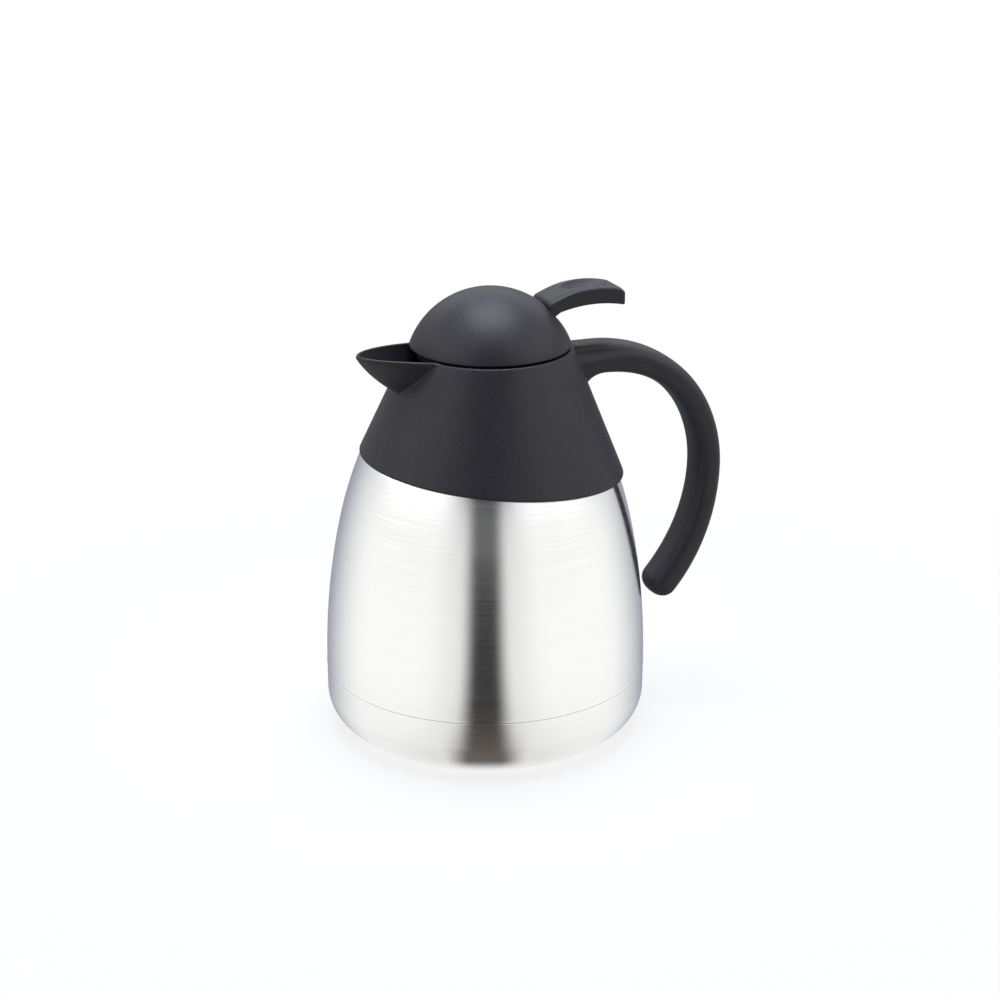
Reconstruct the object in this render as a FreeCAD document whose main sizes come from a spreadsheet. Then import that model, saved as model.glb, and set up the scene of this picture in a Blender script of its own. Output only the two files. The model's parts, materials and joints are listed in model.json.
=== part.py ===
import FreeCAD, Part
import math
import os

import Sketcher

V = FreeCAD.Vector
UP = V(0, 0, 1)
SIDEWAYS = V(0, 1, 0)

doc = FreeCAD.newDocument("coffee_pot")

# Driving dimensions, in millimetres and degrees.
# The origin is the middle of the base, +Z is up, the handle points to +X and the spout to -X.
DIMENSIONS = {
    # steel body
    "body_radius": (70.0, "largest radius, at the weld seam"),
    "seam_height": (28.0, "height of the weld seam"),
    "side_arc": (305.0, "radius of the bowed side, seen from the front"),
    "neck_length": (10.4, "straight steel neck"),
    "neck_ledge": (2.2, "steel neck beyond the throat of the shoulder"),
    "neck_gap": (1.2, "space between the two steel walls at the neck"),
    "shell_wall": (0.7, "thickness of the outer steel"),
    "flask_wall": (0.6, "thickness of the inner steel"),
    "vacuum_gap": (5.5, "space between the two steel walls"),
    "base_corner": (16.4, "radius of the corner at the foot"),
    "rest_ring": (6.0, "width of the ring that the pot stands on"),
    "base_recess": (3.0, "height of the hollow inside that ring"),
    "recess_slant": (2.0, "run of the slanted wall of the hollow"),
    "dimple_radius": (6.0, "dimple round the pumping hole"),
    "dimple_depth": (2.0, "depth of that dimple"),
    "pump_hole": (1.5, "radius of the pumping hole"),
    "seal_bead": (1.4, "thickness of the bead that closes it"),
    "plate_thickness": (1.0, "thickness of the base plate"),
    "flask_seam_drop": (4.0, "weld seam of the inner bottle below that of the body"),
    "flask_land": (0.8, "straight wall between that seam and the round of the bottom"),
    "getter_radius": (6.0, "radius of the getter capsule"),
    "getter_height": (2.5, "height of the getter capsule"),
    "getter_offset": (20.0, "distance of the getter from the axis"),
    # shoulder
    "rim_height": (169.6, "height of the shoulder's top edge"),
    "rim_radius": (34.8, "outer radius of that edge"),
    "lid_setback": (2.3, "lid axis behind the body axis, towards the handle"),
    "edge_height": (118.9, "height of the slanted lower edge, at the body axis"),
    "edge_tilt": (5.6, "tilt of the lower edge, down towards the handle"),
    "edge_proud": (0.9, "lower edge of the shoulder beyond the steel"),
    "shoulder_wall": (2.4, "wall of the shoulder"),
    "rim_wall": (2.8, "wall round the mouth, at its top edge"),
    "mouth_depth": (12.6, "depth of the mouth, down to the ledge that the lid seals on"),
    "ledge_thickness": (3.0, "thickness of the ledge"),
    "throat_play": (1.5, "space between the throat in the ledge and the stopper"),
    "neck_gasket_thickness": (1.5, "thickness of the gasket between the ledge and the steel neck"),
    "collar_wall": (2.6, "wall of the collar round the steel neck"),
    "collar_depth": (7.0, "length of that collar under the ledge"),
    "steel_fit": (0.15, "clearance between plastic and steel"),
    # spout
    "spout_overhang": (25.3, "tip of the spout in front of the shoulder's top edge"),
    "spout_half_width": (18.8, "half width of the spout's rim oval, at the body axis"),
    "spout_cross": (2.2, "shift of the two ovals whose overlap gives the spout its point"),
    "keel_sink": (1.5, "start of the spout's keel behind the face of the cone"),
    "keel_half_width": (12.6, "half width of the spout's oval there"),
    "keel_depth": (16.5, "height of the spout from keel to rim"),
    "keel_fullness": (0.55, "share of the keel's slant that is straight"),
    "spout_wall": (1.6, "wall of the spout"),
    "spout_floor": (1.0, "floor of the spout above the ledge"),
    # handle
    "handle_drop": (9.6, "handle's middle line at its root below the shoulder's top edge"),
    "handle_straight": (8.4, "straight stretch of the handle at its root"),
    "finger_room": (35.6, "middle line of the grip beyond the widest part of the body"),
    "grip_arc": (82.5, "radius of the grip's long bend"),
    "grip_sweep": (41.0, "turn of the grip's long bend"),
    "root_depth": (14.8, "height of the handle at its root"),
    "root_flare": (3.0, "drop of the handle's underside where it meets its boss"),
    "bend_depth": (10.9, "thickness of the handle at its upper bend"),
    "grip_depth": (12.4, "thickness of the grip"),
    "end_depth": (15.4, "thickness of the handle near its free end"),
    "handle_width": (19.0, "width of the handle, across"),
    "boss_height": (1.4, "boss that the handle stands on, above the cone"),
    "boss_margin": (0.9, "boss beyond the handle's root, all round"),
    "screw_radius": (1.5, "shank of the handle screws"),
    "screw_head": (2.7, "head radius of the handle screws"),
    "screw_head_height": (2.0, "head height of the handle screws"),
    "screw_length": (13.0, "length of the handle screws under the head"),
    "screw_spacing": (8.0, "distance between the two screws"),
    "screw_drop": (5.5, "screws below the handle's middle line"),
    "screw_seat": (1.6, "shoulder wall left under the screw heads"),
    "screw_play": (0.1, "clearance round the handle screws"),
    "flute_radius": (5.0, "radius of the flute beside the handle's root"),
    "flute_bite": (1.5, "depth of the flute at the root"),
    "flute_length": (28.0, "length of the flute"),
    "flute_height": (3.4, "flute above the handle's middle line"),
    # lid
    "lid_gap": (0.8, "visible gap between the lid and the shoulder"),
    "dome_inset": (0.5, "edge of the dome inside the shoulder's top edge"),
    "dome_height": (24.1, "height of the dome"),
    "dome_wall": (2.2, "wall of the dome"),
    "lid_play": (0.9, "space between the mouth and the flange of the stopper"),
    "flange_drop": (0.6, "top of that flange below the shoulder's edge"),
    "flange_thickness": (2.8, "thickness of that flange"),
    "ring_wall": (2.0, "ring of the dome that stands on the flange"),
    "stopper_radius": (22.5, "outside of the stopper"),
    "stopper_wall": (2.2, "wall of the stopper"),
    "stopper_depth": (19.0, "length of the stopper below the ledge"),
    "stopper_floor": (2.5, "thickness of the stopper's floor"),
    "port_radius": (8.0, "pouring port in the stopper's floor"),
    "gasket_seat": (4.0, "width of the ledge that the lid gasket covers"),
    "gasket_thickness": (1.6, "thickness of the lid gasket"),
    "seal_flange": (2.0, "thickness of the flange above the gasket"),
    "window_width": (11.0, "width of each pouring window"),
    "window_margin": (0.5, "material above and below each window"),
    # valve
    "stem_radius": (2.5, "valve stem"),
    "stem_fit": (0.1, "clearance round the stem"),
    "valve_overlap": (3.0, "disc of the valve beyond the pouring port"),
    "valve_thickness": (2.5, "thickness of that disc"),
    "seal_thickness": (1.5, "washer under that disc"),
    "spigot_play": (2.5, "space between the port and the spigot that centres the washer"),
    "spigot_length": (5.0, "length of that spigot"),
    "guide_thickness": (1.5, "plate that closes the stopper"),
    "guide_wall": (0.7, "wall of the hub round the O-ring's seat"),
    "guide_below": (4.0, "hub below that plate"),
    "guide_above": (3.0, "hub above that plate"),
    "oring_section": (1.6, "thickness of the O-ring round the stem"),
    "oring_gland": (2.0, "depth of the O-ring's seat"),
    "spring_play": (0.95, "space between the hub and the valve spring"),
    "spring_wire": (1.1, "wire of the valve spring"),
    "spring_turns": (6.0, "turns of the valve spring"),
    "cap_wall": (1.5, "wall of the stem cap"),
    "cap_rim": (1.6, "flange of the stem cap, beyond that wall"),
    "cap_flange": (1.6, "thickness of that flange"),
    "cap_height": (5.2, "height of the stem cap"),
    # lever
    "pivot_offset": (17.1, "lever pin from the lid axis"),
    "drum_play": (1.9, "space between the lever's hub and the inside of the dome"),
    "pin_radius": (1.5, "lever pin"),
    "pin_fit": (0.05, "running clearance round the pin"),
    "drum_radius": (5.0, "hub of the lever"),
    "lever_width": (18.6, "width of the lever"),
    "lever_gap": (0.5, "clearance on each side of the lever"),
    "lever_root": (22.7, "start of the lever's top, from the lid axis"),
    "lever_root_rise": (8.5, "lever's top there, above the pin"),
    "lever_length": (58.2, "tip of the lever from the lid axis"),
    "lever_shoulder": (3.2, "run of the rounded tip"),
    "lever_tip_rise": (11.3, "top above the pin where the tip rounds over"),
    "lever_crown": (43.0, "radius of the lever's bowed top"),
    "lever_underside": (3.9, "lever's underside above the pin, at its tip"),
    "lever_hollow": (60.0, "radius of the hollow along the underside"),
    "lever_heel": (28.2, "start of that hollow from the lid axis"),
    "lever_heel_rise": (3.5, "underside above the pin there"),
    "tip_round": (5.0, "radius of the rounded tip"),
    "tip_face": (5.4, "height of the blunt end under that round"),
    "lever_nose": (1.6, "half thickness of the two inner arms"),
    "arm_thickness": (2.0, "thickness of each inner arm"),
    "arm_play": (0.5, "space between the inner arms and the stem, on each side"),
    "nose_play": (0.3, "gap between the inner arms and the stem cap"),
    "ear_thickness": (2.5, "ears that hold the pin"),
    "ear_reach": (4.0, "ears beyond the pin's middle"),
    "notch_rise": (3.8, "floor of the notch above the edge of the dome"),
    "bevel": (1.2, "drop of the bevel along the lever's top edges"),
    "bevel_run": (3.1, "width of that bevel"),
    "pad_length": (26.0, "length of the thumb dish's tool"),
    "pad_width": (12.0, "width of the thumb dish"),
    "pad_depth": (1.7, "depth of the thumb dish"),
    "pad_arc": (120.0, "radius of the thumb dish along the lever"),
    "pad_middle": (43.5, "middle of the thumb dish from the lid axis"),
}

sheet = doc.addObject("Spreadsheet::Sheet", "Sizes")
for row, (name, (number, meaning)) in enumerate(DIMENSIONS.items(), start=1):
    sheet.set(f"A{row}", name)
    sheet.set(f"B{row}", str(number))
    sheet.set(f"C{row}", meaning)
    sheet.setAlias(f"B{row}", name)
doc.recompute()


class Size:
    """A size worked out from the sheet: its number now, and the expression that stays bound."""

    def __init__(self, number, text):
        self.number = float(number)
        self.text = text

    def __float__(self):
        return self.number

    def __add__(self, other):
        other = size(other)
        return Size(self.number + other.number, f"({self.text} + {other.text})")

    def __sub__(self, other):
        other = size(other)
        return Size(self.number - other.number, f"({self.text} - {other.text})")

    def __mul__(self, other):
        other = size(other)
        return Size(self.number * other.number, f"({self.text} * {other.text})")

    def __truediv__(self, other):
        other = size(other)
        return Size(self.number / other.number, f"({self.text} / {other.text})")

    def __radd__(self, other):
        return size(other) + self

    def __rsub__(self, other):
        return size(other) - self

    def __rmul__(self, other):
        return size(other) * self

    def __neg__(self):
        return Size(-self.number, f"(0 - {self.text})")


def size(value):
    """A plain number, or the alias of a cell, as a Size."""
    if isinstance(value, Size):
        return value
    if isinstance(value, str):
        return Size(sheet.get(value), f"Sizes.{value}")
    return Size(value, repr(value))


def root(value):
    return Size(math.sqrt(value.number), f"sqrt({value.text})")


def degrees(value):
    return Size(value.number, f"({value.text} * 1 deg)")


def slope_angle(value):
    return Size(math.degrees(math.atan(value.number)), f"atan({value.text})")


def sine(angle):
    return Size(math.sin(math.radians(angle.number)), f"sin({angle.text})")


def cosine(angle):
    return Size(math.cos(math.radians(angle.number)), f"cos({angle.text})")


class Cells:
    """The cells of the sheet by name, so that mm.body_radius is a Size."""

    def __getattr__(self, name):
        return size(name)


mm = Cells()
nodes = {}


def bind(thing, path, value):
    thing.setExpression(path, size(value).text)


def place(thing, x=0, y=0, z=0):
    for path, value in (("x", x), ("y", y), ("z", z)):
        bind(thing, f"Placement.Base.{path}", value)
    return thing


def tilt(thing, angle):
    """Turn a piece about the sideways axis: a positive angle lowers its +X side."""
    thing.Placement = FreeCAD.Placement(thing.Placement.Base, FreeCAD.Rotation(SIDEWAYS, float(angle)))
    bind(thing, "Placement.Rotation.Angle", angle)
    return thing


def keep(label, thing):
    """Name a finished sub-part."""
    thing.Label = label
    nodes[label] = thing
    return thing


# Primitives and booleans

def cylinder(name, radius, height, x=0, y=0, z=0):
    solid = doc.addObject("Part::Cylinder", name)
    bind(solid, "Radius", radius)
    bind(solid, "Height", height)
    return place(solid, x, y, z)


def crossbar(name, radius, length, x, z, start):
    """A cylinder along Y, from start over length."""
    solid = cylinder(name, radius, length)
    solid.Placement = FreeCAD.Placement(V(), FreeCAD.Rotation(V(1, 0, 0), -90))
    return place(solid, x, start, z)


def box(name, length, width, height, x, y, z):
    solid = doc.addObject("Part::Box", name)
    bind(solid, "Length", length)
    bind(solid, "Width", width)
    bind(solid, "Height", height)
    return place(solid, x, y, z)


def sphere(name, radius, x, z):
    solid = doc.addObject("Part::Sphere", name)
    bind(solid, "Radius", radius)
    return place(solid, x, 0, z)


def circle(name, radius, x, z):
    ring = doc.addObject("Part::Circle", name)
    bind(ring, "Radius", radius)
    return place(ring, x, 0, z)


def oval(name, half_length, half_width, y, z):
    ring = doc.addObject("Part::Ellipse", name)
    bind(ring, "MajorRadius", half_length)
    bind(ring, "MinorRadius", half_width)
    return place(ring, 0, y, z)


def loft(name, sections, ruled):
    solid = doc.addObject("Part::Loft", name)
    solid.Sections = sections
    solid.Solid = True
    solid.Ruled = ruled
    return solid


def fuse(name, *pieces):
    solid = doc.addObject("Part::MultiFuse", name)
    solid.Shapes = list(pieces)
    return solid


def common(name, *pieces):
    solid = doc.addObject("Part::MultiCommon", name)
    solid.Shapes = list(pieces)
    return solid


def cut(name, base, *tools):
    solid = doc.addObject("Part::Cut", name)
    solid.Base = base
    solid.Tool = tools[0] if len(tools) == 1 else fuse(name + "_tools", *tools)
    return solid


# Sketched bodies

def plane_of(body, role):
    return next(plane for plane in body.Origin.OriginFeatures if plane.Role == role)


def sketch_on(body, role, name, height=0):
    sketch = body.newObject("Sketcher::SketchObject", name)
    sketch.AttachmentSupport = (plane_of(body, role), [""])
    sketch.MapMode = "FlatFace"
    if height:
        bind(sketch, "AttachmentOffset.Base.z", height)
    return sketch


def arc_between(start, end, radius, turn):
    """The short arc from start to end: turn is 1 for anticlockwise and -1 for clockwise."""
    chord = end - start
    half = chord.Length / 2
    left = V(-chord.y, chord.x, 0).normalize()
    middle = (start + end) * 0.5 + left * turn * math.sqrt(max(radius ** 2 - half ** 2, 0))
    first, last = (start, end) if turn > 0 else (end, start)
    angles = [math.atan2(point.y - middle.y, point.x - middle.x) for point in (first, last)]
    if angles[1] < angles[0]:
        angles[1] += 2 * math.pi
    return Part.ArcOfCircle(Part.Circle(middle, UP, radius), *angles)


def draw_outline(sketch, corners):
    """A closed outline with each corner pinned to the sheet.

    A corner is (across, up), or (across, up, radius, turn) where an arc leads to it.
    """
    points = [V(float(corner[0]), float(corner[1]), 0) for corner in corners]
    first = sketch.GeometryCount
    ends = []
    for index, corner in enumerate(corners):
        start = points[index - 1]
        end = points[index]
        if len(corner) == 2:
            sketch.addGeometry(Part.LineSegment(start, end))
            ends.append((1, 2))
        else:
            radius, turn = corner[2:]
            sketch.addGeometry(arc_between(start, end, float(radius), turn))
            ends.append((1, 2) if turn > 0 else (2, 1))
    for index, corner in enumerate(corners):
        line = first + index
        after = first + (index + 1) % len(corners)
        start_of_next = ends[(index + 1) % len(corners)][0]
        sketch.addConstraint(Sketcher.Constraint("Coincident", line, ends[index][1], after, start_of_next))
        pin(sketch, line, ends[index][1], corner[0], corner[1])
        if len(corner) == 4:
            number = sketch.addConstraint(Sketcher.Constraint("Radius", line, float(corner[2])))
            bind(sketch, f"Constraints[{number}]", corner[2])


def pin(sketch, line, end, across, up):
    """Hold a point at its place from the sketch's origin."""
    for kind, value, axis in (("DistanceX", across, -2), ("DistanceY", up, -1)):
        if not isinstance(value, Size) and value == 0:
            sketch.addConstraint(Sketcher.Constraint("PointOnObject", line, end, axis))
            continue
        number = sketch.addConstraint(Sketcher.Constraint(kind, -1, 1, line, end, float(value)))
        bind(sketch, f"Constraints[{number}]", value)


def revolved(label, corners, x=0):
    body = doc.addObject("PartDesign::Body", label)
    sketch = sketch_on(body, "XZ_Plane", label + "_profile")
    draw_outline(sketch, corners)
    turned = body.newObject("PartDesign::Revolution", label + "_turned")
    turned.Profile = sketch
    turned.ReferenceAxis = (sketch, ["V_Axis"])
    turned.Angle = 360
    return place(body, x)


# Heights and radii shared by several pieces

edge_steel = mm.body_radius - mm.side_arc + root(
    mm.side_arc * mm.side_arc - (mm.edge_height - mm.seam_height) * (mm.edge_height - mm.seam_height))
edge_radius = edge_steel + mm.edge_proud
edge_rise = edge_radius * sine(degrees(mm.edge_tilt)) / cosine(degrees(mm.edge_tilt))
cone_slope = (edge_radius - mm.rim_radius) / (mm.rim_height - mm.edge_height)
skirt_height = mm.edge_height - 2 * edge_rise - mm.shoulder_wall
cone_run = mm.rim_height - skirt_height

ledge_top = mm.rim_height - mm.mouth_depth
ledge_bottom = ledge_top - mm.ledge_thickness
mouth_radius = mm.rim_radius - mm.rim_wall
throat_radius = mm.stopper_radius + mm.throat_play
gasket_radius = throat_radius + mm.gasket_seat
gasket_top = ledge_top + mm.gasket_thickness

neck_top = ledge_bottom - mm.neck_gasket_thickness
neck_start = neck_top - mm.neck_length
neck_bore = throat_radius + mm.lid_setback + mm.neck_ledge
neck_radius = neck_bore + mm.flask_wall + mm.neck_gap + mm.shell_wall
neck_lip = mm.shell_wall
turn_height = mm.edge_height + edge_rise
turn_run = turn_height - mm.seam_height
turn_radius = mm.body_radius - mm.side_arc + root(mm.side_arc * mm.side_arc - turn_run * turn_run)
turn_slope = (neck_start - turn_height) / (turn_radius - neck_radius)
slant = root(1 + turn_slope * turn_slope)

flask_floor = mm.base_recess + mm.dimple_depth + mm.shell_wall + mm.vacuum_gap
flask_seam = mm.seam_height - mm.flask_seam_drop
flask_corner = flask_seam - mm.flask_land - flask_floor

flange_radius = mouth_radius - mm.lid_play
flange_top = mm.rim_height - mm.flange_drop
flange_bottom = flange_top - mm.flange_thickness
dome_radius = mm.rim_radius - mm.dome_inset
dome_base = mm.rim_height + mm.lid_gap
dome_top = dome_base + mm.dome_height
dome_ball = (dome_radius * dome_radius + mm.dome_height * mm.dome_height) / (2 * mm.dome_height)
dome_middle = dome_top - dome_ball
dome_inside = dome_ball - mm.dome_wall

stopper_bottom = ledge_top - mm.stopper_depth
window_floor = gasket_top + mm.seal_flange + mm.window_margin
port_height = stopper_bottom + mm.stopper_floor
valve_radius = mm.port_radius + mm.valve_overlap
valve_floor = port_height + mm.seal_thickness
valve_top = valve_floor + mm.valve_thickness
spigot_radius = mm.port_radius - mm.spigot_play
stem_bore = mm.stem_radius + mm.stem_fit
gland_radius = stem_bore + mm.oring_section + mm.stem_fit
guide_radius = gland_radius + mm.guide_wall
spring_radius = guide_radius + mm.spring_play + mm.spring_wire / 2
cap_hub = mm.stem_radius + mm.cap_wall
cap_radius = cap_hub + mm.cap_rim

lever_side = mm.lever_width / 2
pivot_x = mm.lid_setback + mm.pivot_offset
pivot_height = dome_middle - mm.drum_radius - mm.drum_play + root(
    dome_inside * dome_inside - mm.pivot_offset * mm.pivot_offset - lever_side * lever_side)
cap_floor = pivot_height + mm.lever_nose + mm.nose_play
cap_ceiling = cap_floor + mm.cap_height - mm.cap_flange
lever_root_height = pivot_height + mm.lever_root_rise
lever_tip_height = pivot_height + mm.lever_tip_rise

handle_height = mm.rim_height - mm.handle_drop
handle_reach = mm.body_radius + mm.finger_room


def cone_radius(height):
    """Outer radius of the shoulder's cone at a height."""
    return mm.rim_radius + cone_slope * (mm.rim_height - height)


def cone_middle(height):
    """The oblique cone's middle at a height: it leans back to the lid axis."""
    return mm.lid_setback * (height - skirt_height) / cone_run


def wall_corner(offset):
    """Where a wall that runs offset inside the outer steel turns in under the shoulder."""
    return turn_radius - offset, turn_height - offset * (slant - turn_slope)


def neck_corner(offset, radius):
    """Where such a wall meets a neck of that radius."""
    return radius, neck_start + (neck_radius - radius) * turn_slope - offset * slant


# Steel bottle

def outer_shell():
    wall = mm.shell_wall
    inner_neck = neck_radius - wall
    top = neck_top - neck_lip
    return revolved("outer_shell", [
        (mm.body_radius, mm.seam_height),
        (turn_radius, turn_height, mm.side_arc, 1),
        (neck_radius, neck_start),
        (neck_radius, top),
        (inner_neck, top),
        neck_corner(wall, inner_neck),
        wall_corner(wall),
        (mm.body_radius - wall, mm.seam_height, mm.side_arc - wall, -1),
    ])


def base_cup():
    wall = mm.shell_wall
    foot = mm.body_radius - mm.base_corner
    ring = foot - mm.rest_ring
    hollow = ring - mm.recess_slant
    dimple_top = mm.base_recess + mm.dimple_depth
    return revolved("base_cup", [
        (mm.body_radius, mm.seam_height),
        (mm.body_radius - wall, mm.seam_height),
        (mm.body_radius - wall, mm.base_corner),
        (foot, wall, mm.base_corner - wall, -1),
        (ring, wall),
        (hollow, mm.base_recess + wall),
        (mm.dimple_radius + wall, mm.base_recess + wall),
        (mm.dimple_radius, dimple_top + wall),
        (mm.pump_hole, dimple_top + wall),
        (mm.pump_hole, dimple_top),
        (mm.dimple_radius - wall, dimple_top),
        (mm.dimple_radius, mm.base_recess),
        (hollow, mm.base_recess),
        (ring, 0),
        (foot, 0),
        (mm.body_radius, mm.base_corner, mm.base_corner, 1),
    ])


def inner_flask():
    wall = mm.flask_wall
    offset = mm.shell_wall + mm.vacuum_gap
    outside = mm.body_radius - offset
    lip = neck_top - neck_lip
    return revolved("inner_flask", [
        (outside, flask_seam),
        (outside, mm.seam_height),
        (*wall_corner(offset), mm.side_arc - offset, 1),
        neck_corner(offset, neck_bore + wall),
        (neck_bore + wall, lip),
        (neck_radius, lip),
        (neck_radius, neck_top),
        (neck_bore, neck_top),
        neck_corner(offset + wall, neck_bore),
        wall_corner(offset + wall),
        (outside - wall, mm.seam_height, mm.side_arc - offset - wall, -1),
        (outside - wall, flask_seam),
    ])


def flask_bottom():
    wall = mm.flask_wall
    outside = mm.body_radius - mm.shell_wall - mm.vacuum_gap
    floor = flask_floor
    return revolved("flask_bottom", [
        (outside, flask_seam),
        (outside - wall, flask_seam),
        (outside - wall, floor + flask_corner),
        (outside - flask_corner, floor + wall, flask_corner - wall, -1),
        (0, floor + wall),
        (0, floor),
        (outside - flask_corner, floor),
        (outside, floor + flask_corner, flask_corner, 1),
    ])


def getter():
    return cylinder("getter", mm.getter_radius, mm.getter_height,
                    x=-mm.getter_offset, z=flask_floor - mm.getter_height)


def vacuum_seal():
    ceiling = mm.base_recess + mm.dimple_depth
    rim = mm.dimple_radius - 3 * mm.shell_wall
    return revolved("vacuum_seal", [
        (0, ceiling - mm.seal_bead),
        (rim - mm.seal_bead, ceiling - mm.seal_bead),
        (rim, ceiling),
        (0, ceiling),
    ])


def base_plate():
    foot = mm.body_radius - mm.base_corner
    rim = foot - mm.rest_ring - mm.recess_slant - mm.steel_fit
    floor = mm.base_recess - mm.plate_thickness
    return revolved("base_plate", [
        (0, floor),
        (rim, floor),
        (rim, mm.base_recess),
        (0, mm.base_recess),
    ])


def neck_gasket():
    return revolved("neck_gasket", [
        (neck_bore, neck_top),
        (neck_radius, neck_top),
        (neck_radius, ledge_bottom),
        (neck_bore, ledge_bottom),
    ])


# Handle and its boss

SECTION_POINTS = 20
SECTION_SQUARENESS = 2.5
ROOT_FLARE = (1.0, 0.9, 0.35)


def section_wire(middle, across, up, half_width, half_depth):
    """A rounded-rectangle section |a|^n + |b|^n = 1, as one smooth closed curve."""
    points = []
    for step in range(SECTION_POINTS):
        angle = 2 * math.pi * step / SECTION_POINTS
        side = math.cos(angle) / half_width
        rise = math.sin(angle) / half_depth
        power = SECTION_SQUARENESS
        reach = (abs(side) ** power + abs(rise) ** power) ** (-1 / power)
        points.append(middle + across * reach * math.cos(angle) + up * reach * math.sin(angle))
    curve = Part.BSplineCurve()
    curve.interpolate(Points=points, PeriodicFlag=True)
    return Part.Wire([curve.toShape()])


def back_slope():
    """Slope of the cone's back line, inwards for each millimetre up."""
    return cone_slope - mm.lid_setback / cone_run


def root_frame():
    """Middle of the handle's root on its boss, the outward normal there and the line up the cone."""
    lean = math.atan(float(back_slope()))
    outward = V(math.cos(lean), 0, math.sin(lean))
    upward = V(-math.sin(lean), 0, math.cos(lean))
    height = float(handle_height)
    back = float(cone_middle(handle_height) + cone_radius(handle_height))
    return V(back, 0, height) + outward * float(mm.boss_height), outward, upward


def handle_boss():
    """The low boss on the shoulder that the handle stands on."""
    middle, outward, upward = root_frame()
    margin = float(mm.boss_margin)
    half_width = float(mm.handle_width) / 2 + margin
    sag = float(mm.root_flare) * ROOT_FLARE[1] / 2
    half_depth = (float(mm.root_depth) / 2 + sag) / outward.x + margin
    sunk = float(mm.boss_height) + half_width ** 2 / (2 * float(mm.rim_radius)) + margin / 2
    low = middle - outward * sunk - upward * sag
    section = section_wire(low, SIDEWAYS, upward, half_width, half_depth)
    boss = doc.addObject("Part::Feature", "handle_boss")
    boss.Shape = Part.Face(section).extrude(outward * sunk)
    return boss


def handle_stations():
    """Places along the handle: (point, heading in degrees below +X, half depth)."""
    reach = float(handle_reach)
    top = float(handle_height)
    start, outward, upward = root_frame()
    straight = start.x + float(mm.handle_straight)
    bend = reach - straight
    grip = float(mm.grip_arc)
    sweep = float(mm.grip_sweep)
    halves = [float(depth) / 2 for depth in (mm.root_depth, mm.bend_depth, mm.grip_depth, mm.end_depth)]

    def eased(low, high, share):
        return low + (high - low) * (1 - math.cos(math.pi * share)) / 2

    flares = [float(mm.root_flare) * share / 2 for share in ROOT_FLARE]
    stations = []
    for place, flare in zip((start.x - float(mm.root_depth) / 2, (start.x + straight) / 2), flares):
        stations.append((V(place, 0, top - flare), 0, halves[0] + flare))
    stations.append((V(straight, 0, top - flares[-1]), 0, halves[0] + flares[-1]))
    for share in (0.25, 0.5, 0.75, 1):
        angle = math.radians(90 * share)
        point = V(straight + bend * math.sin(angle), 0, top - bend * (1 - math.cos(angle)))
        if share <= 0.5:
            half = eased(halves[0], halves[1], 0.2 + 1.6 * share)
        else:
            half = eased(halves[1], halves[2], 2 * share - 1)
        stations.append((point, 90 * share, half))
    for share in (0.25, 0.5, 0.75, 1):
        angle = math.radians(sweep * share)
        point = V(reach - grip * (1 - math.cos(angle)), 0, top - bend - grip * math.sin(angle))
        stations.append((point, 90 + sweep * share, eased(halves[2], halves[3], share)))
    end, heading, half = stations[-1]
    along = V(math.cos(math.radians(heading)), 0, -math.sin(math.radians(heading)))
    for angle in (35, 60, 80):
        reach_on = half * math.sin(math.radians(angle))
        stations.append((end + along * reach_on, heading, half * math.cos(math.radians(angle))))
    return stations


def handle():
    """Loft along the C, faced off on its boss, with flutes beside the root and screw holes."""
    half_width = float(mm.handle_width) / 2
    end_half = float(mm.end_depth) / 2
    sections = []
    stations = handle_stations()
    for number, (point, heading, half) in enumerate(stations):
        turn = math.radians(heading)
        upward = V(math.sin(turn), 0, math.cos(turn))
        width = half_width * half / end_half if number >= len(stations) - 3 else half_width
        sections.append(section_wire(point, SIDEWAYS, upward, width, half))
    solid = Part.makeLoft(sections, True)
    middle, outward, upward = root_frame()
    size = 2 * float(handle_reach)
    block = Part.makeBox(size, size, size, V(-size / 2, -size / 2, 0))
    block.Placement = FreeCAD.Placement(middle, FreeCAD.Rotation(UP, outward * -1))
    solid = solid.cut(block)
    for side in (-1, 1):
        solid = solid.cut(flute(side))
        solid = solid.cut(screw_hole(side))
    feature = doc.addObject("Part::Feature", "handle")
    feature.Shape = solid
    return feature


def flute(side):
    """A round tool that bites the handle's side at the root and runs out of it."""
    middle, outward, upward = root_frame()
    radius = float(mm.flute_radius)
    length = float(mm.flute_length)
    bite = float(mm.flute_bite)
    half_width = float(mm.handle_width) / 2
    start = V(middle.x, side * (half_width + radius - bite), float(handle_height + mm.flute_height))
    end = V(middle.x + length, side * (half_width + radius), start.z)
    along = end - start
    return Part.makeCylinder(radius, along.Length * 2, start - along * 0.5, along)


def screw_seat(side):
    """Where a handle screw's head sits on the shoulder's inside, and its direction."""
    middle, outward, upward = root_frame()
    seat = middle - outward * float(mm.boss_height + mm.screw_seat)
    seat = seat - upward * float(mm.screw_drop) + SIDEWAYS * side * float(mm.screw_spacing) / 2
    return seat, outward


def screw_hole(side):
    """The hole for one screw: its shank, and a flat seat for its head."""
    seat, outward = screw_seat(side)
    play = float(mm.screw_play)
    depth = float(mm.screw_length) + play
    shank = Part.makeCylinder(float(mm.screw_radius) + play, depth, seat, outward)
    head = Part.makeCylinder(float(mm.screw_head) + play, depth, seat, outward * -1)
    return shank.fuse(head)


def handle_screws():
    screws = []
    for side in (-1, 1):
        seat, outward = screw_seat(side)
        head = Part.makeCylinder(float(mm.screw_head), float(mm.screw_head_height), seat, outward * -1)
        shank = Part.makeCylinder(float(mm.screw_radius), float(mm.screw_length), seat, outward)
        screws.append(head.fuse(shank).removeSplitter())
    feature = doc.addObject("Part::Feature", "handle_screws")
    feature.Shape = Part.makeCompound(screws)
    return feature


# Shoulder

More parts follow.
